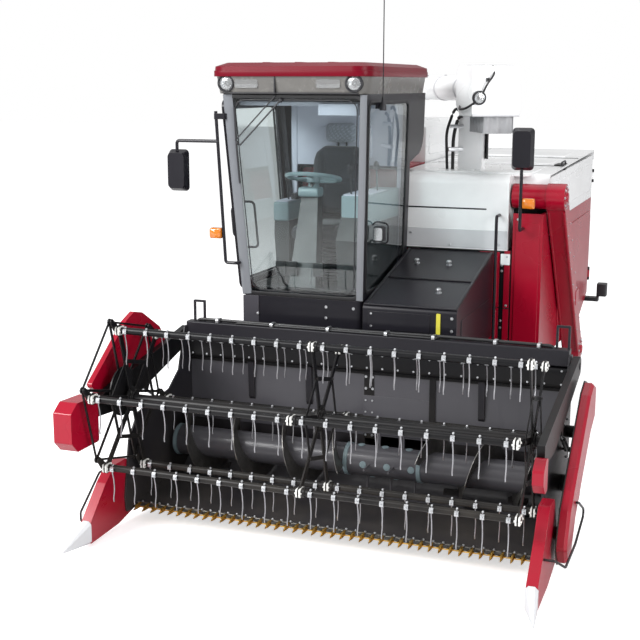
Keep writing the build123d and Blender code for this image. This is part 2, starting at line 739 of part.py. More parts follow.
# Red front panels beside the feeder house and the fixed panel ahead of the elevator.
# X of each panel's edges, its lowest and highest Z
front_panel_table = [
    (432.0, 572.0, 750.0, 1100.0), (432.0, 572.0, 1106.0, 1490.0),
    (604.0, 644.0, 720.0, 1500.0), (656.0, 860.0, 700.0, 1760.0),
]
panel_face = -204.0
with BuildPart() as front_panels:
    for x0, x1, z0, z1 in front_panel_table:
        with BuildSketch(side(x0)):
            Polygon((panel_face, z0), (-180, z0), (-180, z1), (panel_face, z1), align=None)
        extrude(amount=x1 - x0)
    with BuildSketch(side(cover_x)):
        Polygon(
            (-180, 700), (edge_y(700, 0), 700), (edge_y(1760, 0), 1760), (-180, 1760),
            align=None,
        )
    extrude(amount=cover_thick)
front_panels.part.label = "front_panels"
export_step(front_panels.part, "parts/front_panels.step")

# Black housing beside the cab over the feeder house, open underneath.
shroud_right, shroud_left = -76.0, 530.0
shroud_front, shroud_rear, shroud_wall = -1236.0, panel_face - seat_gap, 12.0
with BuildPart() as feeder_cover:
    with BuildSketch(side(shroud_right)):
        shroud = Polygon(
            (shroud_front, 1090), (shroud_front, 1262), (shroud_rear, 1487), (shroud_rear, 900),
            (-420, 900), align=None,
        )
        fillet(shroud.vertices().sort_by(Axis.X)[:2].sort_by(Axis.Y)[-1], 40)
    extrude(amount=shroud_left - shroud_right)
    with BuildSketch(side(shroud_right + shroud_wall)):
        Polygon(
            (shroud_front + shroud_wall, 850), (shroud_front + shroud_wall, 1242), (hood_front, 1468),
            (hood_front, 850), align=None,
        )
    extrude(amount=shroud_left - shroud_right - 2 * shroud_wall, mode=Mode.SUBTRACT)
feeder_cover.part.label = "feeder_cover"
export_step(feeder_cover.part, "parts/feeder_cover.step")

# ---------------------------------------------------------------- engine bay and grain tank
bay_right, bay_left = -1040.0, -190.0
bay_front, bay_rear = -185.0, 600.0
bay_top, bay_wall = 2040.0, 16.0
screen_y = (-120.0, 520.0)
screen_z = (820.0, 1900.0)
with BuildPart() as engine_housing:
    with BuildSketch(flat(deck_high)):
        Polygon(
            (bay_right, bay_front), (bay_left, bay_front), (bay_left, bay_rear), (bay_right, bay_rear), align=None
        )
    extrude(amount=bay_top - deck_high)
    with BuildSketch(flat(deck_high)):
        Polygon(
            (bay_right + bay_wall, bay_front + bay_wall), (bay_left - bay_wall, bay_front + bay_wall),
            (bay_left - bay_wall, bay_rear - bay_wall), (bay_right + bay_wall, bay_rear - bay_wall), align=None
        )
    extrude(amount=bay_top - deck_high - bay_wall, mode=Mode.SUBTRACT)
    with BuildSketch(side(bay_right - 20)):
        with Locations(((screen_y[0] + screen_y[1]) / 2, (screen_z[0] + screen_z[1]) / 2)):
            RectangleRounded(screen_y[1] - screen_y[0], screen_z[1] - screen_z[0], 40)
    extrude(amount=60, mode=Mode.SUBTRACT)
    screen_hinge = (bay_right - running_gap - 24.0, screen_y[1] + 16 + 22.0)
    for z in (1000.0, 1720.0):
        for up in (-1, 1):
            low = z + up * (hinge_length + lug_length_z + 2 * pin_gap) / 2 - lug_length_z / 2
            with BuildSketch(flat(low)):
                with Locations(screen_hinge):
                    Circle(hinge_r)
                with Locations(((screen_hinge[0] + bay_right) / 2 + 1, screen_hinge[1])):
                    Rectangle(bay_right - screen_hinge[0] + 2, 12)
            extrude(amount=lug_length_z)
engine_housing.part.label = "engine_housing"
export_step(engine_housing.part, "parts/engine_housing.step")

with BuildPart() as radiator_door:
    with BuildSketch(side(bay_right - running_gap - 24)):
        with Locations(((screen_y[0] + screen_y[1]) / 2, (screen_z[0] + screen_z[1]) / 2)):
            RectangleRounded(screen_y[1] - screen_y[0] + 32, screen_z[1] - screen_z[0] + 32, 50)
            RectangleRounded(screen_y[1] - screen_y[0] - 90, screen_z[1] - screen_z[0] - 90, 30, mode=Mode.SUBTRACT)
    extrude(amount=24)
    with BuildSketch(side(bay_right - running_gap - 14)):
        with Locations(((screen_y[0] + screen_y[1]) / 2, (screen_z[0] + screen_z[1]) / 2)):
            Rectangle(screen_y[1] - screen_y[0] - 60, screen_z[1] - screen_z[0] - 60)
    extrude(amount=6)
    for z in (1000.0, 1720.0):
        with BuildSketch(flat(z - hinge_length / 2)):
            with Locations(screen_hinge):
                Circle(hinge_r)
            with Locations((screen_hinge[0] + 5, screen_hinge[1] - 14)):
                Rectangle(10, 28)
        extrude(amount=hinge_length)
radiator_door.part.label = "radiator_door"
export_step(radiator_door.part, "parts/radiator_door.step")

with BuildPart() as engine:
    with BuildSketch(front(440)):
        block = Polygon(
            (-820, deck_high), (-380, deck_high), (-360, 900), (-400, 1260), (-460, 1330), (-700, 1330),
            (-780, 1240), (-840, 900), align=None,
        )
        fillet(block.vertices().group_by(Axis.Y)[-1], 25)
    extrude(amount=560)
    # Radiator core behind the screen door, with its fan shroud reaching to the engine.
    with BuildSketch(side(-985)):
        Polygon((-100, deck_high), (500, deck_high), (500, 1880), (-100, 1880), align=None)
    extrude(amount=70)
    with BuildSketch(side(-915)):
        with Locations((160, 1120)):
            Circle(250)
            Circle(236, mode=Mode.SUBTRACT)
    extrude(amount=75)
    with BuildSketch(front(200)):
        with Locations((-600, 1290)):
            Rectangle(120, 200)
    extrude(amount=120)
    # Muffler and exhaust pipe on the roof of the bay.
    with BuildSketch(side(-700)):
        with Locations((330, bay_top + 62)):
            Circle(62)
    extrude(amount=360)
    with BuildSketch(flat(bay_top + seat_gap)):
        with Locations((-600, 330), (-440, 330)):
            Rectangle(30, 70)
    extrude(amount=30)
    with BuildSketch(flat(bay_top + 62)):
        with Locations((-390, 330)):
            Circle(30)
    extrude(amount=230)
engine.part.label = "engine"
export_step(engine.part, "parts/engine.step")

tank_right, tank_left = -1060.0, -190.0
tank_front, tank_rear = 606.0, 1660.0
tank_top, tank_wall = 2300.0, 12.0
hopper_z = 1150.0
hopper_floor = (-720.0, -480.0, 740.0)       # X of the trough's edges and its height
with BuildPart() as grain_tank:
    with BuildSketch(front(tank_rear)):
        Polygon(
            (tank_right, tank_top), (tank_right, hopper_z), (hopper_floor[0], hopper_floor[2]),
            (hopper_floor[1], hopper_floor[2]), (tank_left, hopper_z), (tank_left, tank_top), align=None,
        )
    extrude(amount=tank_rear - tank_front)
    with BuildSketch(front(tank_rear - tank_wall)):
        Polygon(
            (tank_right + tank_wall, tank_top + 10), (tank_right + tank_wall, hopper_z + 4),
            (hopper_floor[0] + 4, hopper_floor[2] + tank_wall), (hopper_floor[1] - 4, hopper_floor[2] + tank_wall),
            (tank_left - tank_wall, hopper_z + 4), (tank_left - tank_wall, tank_top + 10), align=None,
        )
    extrude(amount=tank_rear - tank_front - 2 * tank_wall, mode=Mode.SUBTRACT)
    # Legs down to the deck members.
    for y in (tank_front + 5, tank_rear - 335):
        with BuildSketch(flat(deck_high)):
            for x in (-925, -345):
                with Locations((x, y + 30)):
                    Rectangle(60, 60)
        extrude(amount=1330 - deck_high)
    with BuildSketch(front(tank_rear - tank_wall)):
        Polygon(
            (tank_right + tank_wall, hopper_z + 4), (hopper_floor[0] + 4, hopper_floor[2] + tank_wall),
            (hopper_floor[1] - 4, hopper_floor[2] + tank_wall), (tank_left - tank_wall, hopper_z + 4),
            (tank_left - tank_wall, tank_top + 10), (tank_right + tank_wall, tank_top + 10), align=None,
        )
    extrude(amount=tank_rear - tank_front - 2 * tank_wall, mode=Mode.SUBTRACT)
    # Lid.
    with BuildSketch(flat(tank_top)):
        with Locations(((tank_right + tank_left) / 2, (tank_front + tank_rear) / 2)):
            RectangleRounded(tank_left - tank_right, tank_rear - tank_front, 30)
    with BuildSketch(flat(tank_top + 50)):
        with Locations(((tank_right + tank_left) / 2, (tank_front + tank_rear) / 2)):
            RectangleRounded(tank_left - tank_right - 120, tank_rear - tank_front - 120, 30)
    loft()
grain_tank.part.label = "grain_tank"
export_step(grain_tank.part, "parts/grain_tank.step")


# ---------------------------------------------------------------- straw hood at the rear
straw_right, straw_left = -44.0, 784.0
straw_wall = 10.0
straw_axis_y, straw_axis_z = body_rear + 18.0, 1786.0
straw_rear = body_rear + 560.0
with BuildPart() as rear_hood:
    with BuildSketch(side(straw_right)):
        shell = Polygon(
            (body_rear + 12, 760), (body_rear + 12, 1764), (straw_rear - 130, 1640), (straw_rear, 1440),
            (straw_rear, 900), (straw_rear - 80, 760), align=None,
        )
        fillet(shell.vertices().sort_by(Axis.X)[-3:], 40)
    extrude(amount=straw_left - straw_right)
    with BuildSketch(side(straw_right + straw_wall)):
        Polygon(
            (body_rear, 700), (body_rear, 1764 - straw_wall), (straw_rear - 134, 1640 - straw_wall),
            (straw_rear - straw_wall, 1436), (straw_rear - straw_wall, 700), align=None,
        )
    extrude(amount=straw_left - straw_right - 2 * straw_wall, mode=Mode.SUBTRACT)
    for x in (140.0, 600.0):
        with BuildSketch(side(x - hinge_length / 2)):
            with Locations((straw_axis_y, straw_axis_z)):
                Circle(hinge_r)
            Polygon(
                (straw_axis_y - 2, straw_axis_z), (straw_axis_y + 10, straw_axis_z), (straw_axis_y + 14, 1755),
                (straw_axis_y - 2, 1755), align=None,
            )
        extrude(amount=hinge_length)
rear_hood.part.label = "rear_hood"
export_step(rear_hood.part, "parts/rear_hood.step")

# The threshing body with the fixed halves of its hinges.
with BuildPart() as thresher_body:
    add(body_block.part)
    for z in cover_hinge_z:
        for up in (-1, 1):
            low = z + up * (hinge_length + lug_length_z + 2 * pin_gap) / 2 - lug_length_z / 2
            with BuildSketch(flat(low)):
                with Locations(cover_hinge):
                    Circle(hinge_r)
                Polygon(
                    (body_left, cover_hinge[1] - 6), (cover_hinge[0], cover_hinge[1] - 6),
                    (cover_hinge[0], cover_hinge[1] + 6), (body_left, cover_hinge[1] + 6), align=None,
                )
            extrude(amount=lug_length_z)
    for x in (140.0, 600.0):
        for way in (-1, 1):
            low = x + way * (hinge_length + lug_length_z + 2 * pin_gap) / 2 - lug_length_z / 2
            with BuildSketch(side(low)):
                with Locations((straw_axis_y, straw_axis_z)):
                    Circle(hinge_r)
                Polygon(
                    (body_rear, straw_axis_z - 6), (straw_axis_y, straw_axis_z - 6),
                    (straw_axis_y, straw_axis_z + 6), (body_rear, straw_axis_z + 6), align=None,
                )
            extrude(amount=lug_length_z)
thresher_body.part.label = "thresher_body"
export_step(thresher_body.part, "parts/thresher_body.step")

# ---------------------------------------------------------------- unloading auger
riser_x, riser_y, riser_r = -800.0, 1900.0, 95.0
spout_end = Vector(400.0, -50.0)
boom_flat = Vector(spout_end.X - riser_x, spout_end.Y - riser_y)
boom_dir = boom_flat.normalized()
boom_z, boom_r = 2590.0, 88.0
turntable_z = 2060.0
boom = Plane(
    origin=(riser_x, riser_y, boom_z), x_dir=(boom_dir.X, boom_dir.Y, 0), z_dir=(boom_dir.Y, -boom_dir.X, 0)
)
ear_gap, ear_thick = 84.0, 14.0
with BuildPart() as unload_riser:
    with BuildSketch(flat(760)):
        with Locations((riser_x, riser_y)):
            Circle(riser_r)
    extrude(amount=turntable_z - 760)
    with BuildSketch(flat(turntable_z - 24)):
        with Locations((riser_x, riser_y)):
            Circle(riser_r + 45)
    extrude(amount=24)
    # Saddles to the tank's rear wall and the sump at the foot.
    for z in (1250.0, 1950.0):
        with BuildSketch(flat(z)):
            with Locations((riser_x, (tank_rear + riser_y) / 2)):
                Rectangle(110, riser_y - tank_rear)
        extrude(amount=60)
    with BuildSketch(flat(deck_high)):
        with Locations((riser_x + 60, riser_y)):
            RectangleRounded(360, 240, 30)
    extrude(amount=180)
    with BuildSketch(flat(deck_low)):
        with Locations((riser_x + 60, (deck_stations[3] + riser_y) / 2 - 30)):
            Rectangle(200, deck_stations[3] - riser_y)
    extrude(amount=deck_high - deck_low)
unload_riser.part.label = "unload_riser"
export_step(unload_riser.part, "parts/unload_riser.step")

cylinder_r, piston_r, eye_r = 26.0, 12.0, 20.0
foot_pin_r = 8.0
lift_foot, lift_eye = (160.0, -400.0), (345.0, -120.0)       # in the boom's own upright plane
with BuildPart() as unload_elbow:
    with BuildSketch(flat(turntable_z + seat_gap)):
        with Locations((riser_x, riser_y)):
            Circle(riser_r + 45)
    extrude(amount=24)
    with BuildSketch(flat(turntable_z + seat_gap)):
        with Locations((riser_x, riser_y)):
            Circle(riser_r)
    extrude(amount=boom_z - 150 - turntable_z)
    with BuildSketch(boom.offset(-ear_gap - ear_thick)):
        ear = Polygon((-95, -200), (95, -200), (60, 40), (-60, 40), align=None)
        fillet(ear.vertices().group_by(Axis.Y)[-1], 30)
    extrude(amount=ear_thick)
    with BuildSketch(boom.offset(ear_gap)):
        ear = Polygon((-95, -200), (95, -200), (60, 40), (-60, 40), align=None)
        fillet(ear.vertices().group_by(Axis.Y)[-1], 30)
    extrude(amount=ear_thick)
    with BuildSketch(boom.offset(-ear_gap - ear_thick)):
        Polygon((-95, -200), (95, -200), (95, -150), (-95, -150), align=None)
    extrude(amount=2 * (ear_gap + ear_thick))
    with BuildSketch(boom.offset(-ear_gap - ear_thick)):
        Circle(20)
    extrude(amount=2 * (ear_gap + ear_thick))
    # Fork for the lift cylinder's foot.
    for z in (-34.0, 22.0):
        with BuildSketch(boom.offset(z)):
            Polygon(
                (60, lift_foot[1] - 40), (lift_foot[0], lift_foot[1] - 26), (lift_foot[0] + 26, lift_foot[1]),
                (lift_foot[0], lift_foot[1] + 26), (60, lift_foot[1] + 60), align=None,
            )
        extrude(amount=12)
    with BuildSketch(boom.offset(-34)):
        with Locations(lift_foot):
            Circle(foot_pin_r)
    extrude(amount=68)
unload_elbow.part.label = "unload_elbow"
export_step(unload_elbow.part, "parts/unload_elbow.step")

boom_length = boom_flat.length
with BuildPart() as unload_tube:
    with BuildSketch(boom.offset(-ear_gap + running_gap)):
        Circle(95)
        Circle(20 + pin_gap, mode=Mode.SUBTRACT)
    extrude(amount=2 * (ear_gap - running_gap))
    along = Plane(origin=boom.from_local_coords((85, 0, 0)), x_dir=boom.z_dir, z_dir=boom.x_dir)
    with BuildSketch(along):
        Circle(boom_r)
    extrude(amount=boom_length - 120 - 85)
    with BuildSketch(boom.offset(-20)):
        Polygon(
            (lift_eye[0] - 60, -boom_r + 6), (lift_eye[0] + 60, -boom_r + 6), (lift_eye[0] + 26, lift_eye[1] - 30),
            (lift_eye[0] - 26, lift_eye[1] - 30), align=None,
        )
    extrude(amount=6)
    with BuildSketch(boom.offset(14)):
        Polygon(
            (lift_eye[0] - 60, -boom_r + 6), (lift_eye[0] + 60, -boom_r + 6), (lift_eye[0] + 26, lift_eye[1] - 30),
            (lift_eye[0] - 26, lift_eye[1] - 30), align=None,
        )
    extrude(amount=6)
unload_tube.part.label = "unload_tube"
export_step(unload_tube.part, "parts/unload_tube.step")

spout_half, spout_wall = 165.0, 10.0
spout_back, spout_front = boom_length - 120, boom_length + 230
with BuildPart() as unload_spout:
    with BuildSketch(boom.offset(-spout_half)):
        spout_side = Polygon(
            (spout_back, 110), (spout_back + 60, 165), (spout_front - 30, 150), (spout_front, 110),
            (spout_front, -165), (spout_front - 40, -180), (spout_back + 90, -180), (spout_back, -110),
            align=None,
        )
    extrude(amount=2 * spout_half)
    with BuildSketch(boom.offset(-spout_half + spout_wall)):
        Polygon(
            (spout_back + spout_wall, 100), (spout_back + 60, 152), (spout_front - 34, 138),
            (spout_front - spout_wall, 106), (spout_front - spout_wall, -200), (spout_back + 104, -200),
            (spout_back + spout_wall, -108), align=None,
        )
    extrude(amount=2 * (spout_half - spout_wall), mode=Mode.SUBTRACT)
unload_spout.part.label = "unload_spout"
export_step(unload_spout.part, "parts/unload_spout.step")

# White post with a flat pad that the stowed tube lies over, and a stop on the cab's side.
post_s = 2050.0
post_middle = (riser_x + boom_dir.X * post_s, riser_y + boom_dir.Y * post_s)
post_width, post_depth = 170.0, 120.0
rest_foot_z = 2024.5
rest_pad = 8.0                     # room for the rubber pad on the post
with BuildPart() as auger_rest:
    with BuildSketch(flat(rest_foot_z)):
        with Locations(post_middle):
            Rectangle(post_width, post_depth)
            with Locations((0, 12)):
                Rectangle(post_width - 20, post_depth - 20, mode=Mode.SUBTRACT)
    extrude(amount=boom_z - boom_r - rest_pad - 12 - rest_foot_z)
    with BuildSketch(flat(boom_z - boom_r - rest_pad - 12)):
        with Locations(post_middle):
            Rectangle(post_width, post_depth)
    extrude(amount=12)
auger_rest.part.label = "auger_rest"
export_step(auger_rest.part, "parts/auger_rest.step")

lift_vector = Vector(lift_eye[0] - lift_foot[0], lift_eye[1] - lift_foot[1])
lift_dir = lift_vector.normalized()
lift_axis = Plane(
    origin=boom.from_local_coords((lift_foot[0], lift_foot[1], 0)),
    x_dir=boom.z_dir,
    z_dir=(boom.from_local_coords((lift_dir.X, lift_dir.Y, 0)) - boom.origin),
)
with BuildPart() as unload_cylinder:
    with BuildSketch(boom.offset(-21)):
        with Locations(lift_foot):
            Circle(eye_r)
    extrude(amount=42)
    with BuildSketch(lift_axis):
        Circle(16)
    extrude(amount=50)
    with BuildSketch(lift_axis.offset(44)):
        Circle(cylinder_r)
    extrude(amount=lift_vector.length - 134)
    with BuildSketch(lift_axis.offset(56)):
        Circle(piston_r + pin_gap)
    extrude(amount=lift_vector.length, mode=Mode.SUBTRACT)
    with BuildSketch(boom.offset(-30)):
        with Locations(lift_foot):
            Circle(foot_pin_r + pin_gap)
    extrude(amount=60, mode=Mode.SUBTRACT)
unload_cylinder.part.label = "unload_cylinder"
export_step(unload_cylinder.part, "parts/unload_cylinder.step")

with BuildPart() as unload_rod:
    with BuildSketch(lift_axis.offset(60)):
        Circle(piston_r)
    extrude(amount=lift_vector.length - 60 - 18)
    with BuildSketch(boom.offset(-13)):
        with Locations(lift_eye):
            Circle(eye_r)
            Circle(eye_r - 8, mode=Mode.SUBTRACT)
    extrude(amount=26)
unload_rod.part.label = "unload_rod"
export_step(unload_rod.part, "parts/unload_rod.step")

# ---------------------------------------------------------------- header
platform_half = 1240.0             # half width between the end plates
end_plate = 10.0
auger_y, auger_z = -1545.0, 350.0
trough_r, auger_r, drum_r = 226.0, 208.0, 95.0
sheet_back = auger_y + trough_r    # front face of the upright back sheet
knife_y, knife_z = -2110.0, 96.0
beam_front, beam_back = -1380.0, -1302.0
beam_foot, beam_head = 1000.0, 1100.0
arm_y, arm_z = -1330.0, 1000.0     # pivot line of the reel arms
arm_pin_r = 20.0
reel_y, reel_z = -2210.0, 790.0
feeder_low, feeder_high = 205.0, 700.0
feeder_wall = 12.0
reel_eye_x = platform_half + 38.0   # middle line of the reel cylinders, either side
reel_foot, reel_eye = (-1560.0, 560.0), (-1900.0, 765.0)
reel_pin_r = 7.0

# Cross-section of the platform: flat floor behind the knife, auger trough, upright back.
floor_end = (auger_y - 95.0, auger_z - (trough_r**2 - 95.0**2) ** 0.5)
with BuildPart() as header_frame:
    with BuildSketch(side(-platform_half)):
        with BuildLine():
            Line((knife_y + 6, knife_z), floor_end)
            RadiusArc(floor_end, (sheet_back, auger_z), -trough_r)
            Line((sheet_back, auger_z), (sheet_back, beam_foot + 4))
            Line((sheet_back, beam_foot + 4), (sheet_back + sheet, beam_foot + 4))
            Line((sheet_back + sheet, beam_foot + 4), (sheet_back + sheet, auger_z))
            RadiusArc((sheet_back + sheet, auger_z), (floor_end[0], floor_end[1] - sheet), trough_r + sheet)
            Line((floor_end[0], floor_end[1] - sheet), (knife_y + 6, knife_z - sheet))
            Line((knife_y + 6, knife_z - sheet), (knife_y + 6, knife_z))
        make_face()
    extrude(amount=2 * platform_half)
    with BuildSketch(side(-platform_half)):
        with Locations(((beam_front + beam_back) / 2, (beam_foot + beam_head) / 2)):
            RectangleRounded(beam_back - beam_front, beam_head - beam_foot, 8)
    extrude(amount=2 * platform_half)
    # Upright ribs on the back sheet and the mouth of the feeder house.
    for x in (-820.0, -420.0, 700.0):
        with BuildSketch(side(x)):
            Polygon(
                (sheet_back, 600), (sheet_back, beam_foot), (beam_front + 20, beam_foot), (sheet_back - 14, 620),
                align=None,
            )
        extrude(amount=40)
    with BuildSketch(front(sheet_back + 40)):
        Polygon(
            (feeder_x[0] + feeder_wall, feeder_low + 10), (feeder_x[1] - feeder_wall, feeder_low + 10),
            (feeder_x[1] - feeder_wall, feeder_high - 10), (feeder_x[0] + feeder_wall, feeder_high - 10),
            align=None,
        )
    extrude(amount=200, mode=Mode.SUBTRACT)
    # End plates, each with the stub that its reel arm turns on.
    for x in (-platform_half - end_plate, platform_half):
        with BuildSketch(side(x)):
            plate = Polygon(
                (-2225, 80), (-1700, 60), (-1304, 130), (-1290, 1060), (-1400, 1075), (-1500, 800),
                (-1640, 706), (-2050, 660), (-2170, 520), (-2235, 180),
                align=None,
            )
            fillet(plate.vertices(), 18)
        extrude(amount=end_plate)
    for x in (-platform_half - end_plate - 52, platform_half + end_plate):
        with BuildSketch(side(x)):
            with Locations((arm_y, arm_z)):
                Circle(arm_pin_r)
        extrude(amount=52)
    # Pins for the feet of the reel cylinders.
    for x in (-platform_half - end_plate - 46, platform_half + end_plate):
        with BuildSketch(side(x)):
            with Locations(reel_foot):
                Circle(reel_pin_r)
        extrude(amount=46)
    # Skids that the parked header stands on.
    for x in (-1040.0, -500.0, 520.0, 920.0):
        with BuildSketch(side(x)):
            skid = Polygon(
                (-1980, 84), (-1900, 0), (-1480, 0), (-1380, 60), (-1360, 175), (-1420, 180), (-1470, 116),
                (-1640, 132), (-1700, 126), align=None,
            )
        extrude(amount=120)
    # Transport hooks on the top beam.
    for x in (40.0 - platform_half, platform_half - 80.0):
        with BuildSketch(front(arm_y + 6)):
            with BuildLine():
                hook = Polyline((x, beam_head), (x, beam_head + 130), (x + 70, beam_head + 130), (x + 70, beam_head))
                offset(hook, 7, side=Side.BOTH)
            make_face()
        extrude(amount=14)
header_frame.part.label = "header_frame"
export_step(header_frame.part, "parts/header_frame.step")

with BuildPart() as feeder_house:
    with BuildSketch(side(feeder_x[0])):
        duct = Polygon(
            (sheet_back + sheet + seat_gap, feeder_low), (-190, 945), (-150, 1040), (-170, 1340), (-240, 1400),
            (sheet_back + sheet + seat_gap, feeder_high), align=None,
        )
    extrude(amount=feeder_x[1] - feeder_x[0])
    with BuildSketch(side(feeder_x[0] + feeder_wall)):
        Polygon(
            (sheet_back - 20, feeder_low - 4), (-190 - feeder_wall, 945 + feeder_wall), (-100, 1040),
            (-100, 1340), (-240, 1400 - feeder_wall), (sheet_back - 20, feeder_high - 24), align=None,
        )
    extrude(amount=feeder_x[1] - feeder_x[0] - 2 * feeder_wall, mode=Mode.SUBTRACT)
    # Ears that hang on the cross shaft.
    for x in (feeder_x[0], feeder_x[1] - feeder_wall):
        with BuildSketch(side(x)):
            Polygon((-240, 1080), (pivot_y, pivot_z - 62), (pivot_y, pivot_z + 62), (-240, 1380), align=None)
            with Locations((pivot_y, pivot_z)):
                Circle(62)
                Circle(pivot_r + pin_gap, mode=Mode.SUBTRACT)
        extrude(amount=feeder_wall)
    with BuildSketch(side(feeder_x[0])):
        with Locations((pivot_y, pivot_z)):
            Circle(pivot_r + pin_gap)
    extrude(amount=feeder_x[1] - feeder_x[0], mode=Mode.SUBTRACT)
    # Fork under the floor for the lift cylinder.
    for x in (lift_x - 34, lift_x + 24):
        with BuildSketch(side(x)):
            Polygon((-1190, 291), (-1030, 397), (-1050, 268), (-1100, 240), (-1150, 252), align=None)
        extrude(amount=10)
feeder_house.part.label = "feeder_house"
export_step(feeder_house.part, "parts/feeder_house.step")

# Knife bar with its row of pointed guards.
guard_pitch, guard_count = 57.5, 43
with BuildPart() as cutterbar:
    with BuildSketch(flat(knife_z - 12)):
        with Locations((0, knife_y - 8)):
            Rectangle(2 * platform_half - 2 * seat_gap, 28)
        with GridLocations(guard_pitch, 1, guard_count, 1):
            with Locations((0, knife_y)):
                Polygon((-11, -18), (11, -18), (7, -58), (0, -96), (-7, -58), align=None)
    extrude(amount=24)
cutterbar.part.label = "cutterbar"
export_step(cutterbar.part, "parts/cutterbar.step")

# Crop dividers: a red wedge on each end plate and a white point ahead of it.
divider_wide = 62.0
nose_root = -2620.0
with BuildPart() as crop_dividers:
    for x, top in ((-platform_half - end_plate - seat_gap - divider_wide, 410.0),
                   (platform_half + end_plate + seat_gap, 480.0)):
        with BuildSketch(side(x)):
            wedge = Polygon(
                (-2010, 90), (-2300, 34), (nose_root, 24), (nose_root, 150), (-2440, 330), (-2330, top),
                (-2190, top), (-2090, 300), align=None,
            )
            fillet(wedge.vertices().sort_by(Axis.Y)[-2:], 30)
        extrude(amount=divider_wide)
crop_dividers.part.label = "crop_dividers"
export_step(crop_dividers.part, "parts/crop_dividers.step")

with BuildPart() as divider_noses:
    for way in (-1, 1):
        root_x = way * (platform_half + end_plate + seat_gap + divider_wide / 2)
        with BuildSketch(front(nose_root - seat_gap)):
            with Locations((root_x, 90)):
                root = Rectangle(divider_wide + 8, 138)
            chamfer(root.vertices(), 18)
        with BuildSketch(front(-tip_reach)):
            with Locations((way * (platform_half + 86), 27)):
                tip = Rectangle(10, 12)
            chamfer(tip.vertices(), 3)
        loft(ruled=True)
divider_noses.part.label = "divider_noses"
export_step(divider_noses.part, "parts/divider_noses.step")

# Drive casing outside the left end: black backing plate and the long red cover.
casing_x = platform_half + 96.0
with BuildPart() as drive_casing:
    with BuildSketch(side(casing_x)):
        casing = Polygon(
            (-1290, 640), (-1290, 900), (-1420, 940), (-1560, 900), (-2180, 420), (-2280, 230), (-2200, 110),
            (-2040, 100), (-1700, 180), (-1420, 230), (-1340, 400), align=None,
        )
        fillet(casing.vertices(), 40)
    extrude(amount=6)
    for y, z, r in ((auger_y, auger_z, 50), (-1960.0, 200.0, 36), (-1400.0, 620.0, 36)):
        with BuildSketch(side(platform_half + end_plate + seat_gap)):
            with Locations((y, z)):
                Circle(r)
        extrude(amount=casing_x - platform_half - end_plate - seat_gap)
drive_casing.part.label = "drive_casing"
export_step(drive_casing.part, "parts/drive_casing.step")

with BuildPart() as drive_cover:
    with BuildSketch(side(casing_x + 6)):
        long_cover = Polygon(
            (-1300, 700), (-1300, 890), (-1420, 930), (-1550, 890), (-2170, 412), (-2270, 230), (-2195, 120),
            (-2080, 130), (-1960, 300), (-1480, 640), align=None,
        )
        fillet(long_cover.vertices(), 36)
    extrude(amount=54)
    long_faces = drive_cover.faces().sort_by(Axis.X)
    chamfer(long_faces[-1].edges(), 16)
drive_cover.part.label = "drive_cover"
export_step(drive_cover.part, "parts/drive_cover.step")

# Bent rod that keeps standing crop off the drive cover, and the rod at the right divider.
rod_r = 7.0
rod_stand = 180.0              # outermost rod, outside the end plate
rod_reach = platform_half + rod_stand - rod_r
cover_face = casing_x + 6 + 54
divider_face = platform_half + end_plate + seat_gap + divider_wide
with BuildPart() as crop_rods:
    with BuildLine():
        left_rod = FilletPolyline(
            (cover_face + seat_gap, -1990, 400), (rod_reach, -1990, 400), (rod_reach, -1720, 262),
            (rod_reach, -2060, 190), (rod_reach, -2400, 190), (divider_face + 60, -2480, 250),
            (divider_face + seat_gap, -2480, 250),
            radius=[8, 30, 30, 30, 20],
        )
    with BuildSketch(Plane(origin=left_rod @ 0, z_dir=left_rod % 0)):
        RegularPolygon(rod_r, 6)
    sweep()
    with BuildLine():
        right_rod = FilletPolyline(
            (-divider_face - seat_gap, -2330, 360), (-divider_face - 40, -2330, 360), (-divider_face - 40, -2560, 180),
            (-divider_face - 40, -2560, 120), (-divider_face - seat_gap, -2560, 120), radius=20,
        )
    with BuildSketch(Plane(origin=right_rod @ 0, z_dir=right_rod % 0)):
        RegularPolygon(rod_r, 6)
    sweep()
crop_rods.part.label = "crop_rods"
export_step(crop_rods.part, "parts/crop_rods.step")

# Platform auger: drum, end stubs and the retracting fingers ahead of the feeder mouth.
finger_x = [feeder_x[0] + 30 + 38 * k for k in range(11)]
with BuildPart() as platform_auger:
    with BuildSketch(side(-platform_half + 12)):
        with Locations((auger_y, auger_z)):
            Circle(drum_r)
    extrude(amount=2 * platform_half - 24)
    with BuildSketch(side(-platform_half + 0.5)):
        with Locations((auger_y, auger_z)):
            Circle(30)
    extrude(amount=2 * platform_half - 1)
    for k, x in enumerate(finger_x):
        finger = Plane(
            origin=(x, auger_y, auger_z), x_dir=(1, 0, 0), z_dir=(0, sin(radians(90 * k)), cos(radians(90 * k)))
        )
        with BuildSketch(finger):
            RegularPolygon(8, 6)
        extrude(amount=auger_r - 14)
platform_auger.part.label = "platform_auger"
export_step(platform_auger.part, "parts/platform_auger.step")

# ---------------------------------------------------------------- reel
bar_count = 6
bar_circle_r, bar_r = 455.0, 20.0
bar_lead = 16.0                    # the top bar stands this far ahead of upright, in degrees
spider_x = (54.0 - platform_half, 0.0, platform_half - 54.0)
spider_thick = 8.0
bar_half = platform_half - 40.0
tine_pitch, tine_count, tine_length = 134.0, 18, 195.0
ring_shift = (-55.0, 58.0)         # the guide ring's centre, from the reel shaft
reel_shaft_r = 30.0
crank_x, ring_x = 39.0 - platform_half, 24.0 - platform_half
guide_r = 128.0
arm_inner, arm_outer = platform_half + 18.0, platform_half + 58.0


def bar_place(k):
    """Y and Z of bar k on the reel's circle; bar 0 is the top one and they follow forwards."""
    turn = radians(90 + bar_lead + 360 * k / bar_count)
    return reel_y + bar_circle_r * cos(turn), reel_z + bar_circle_r * sin(turn)


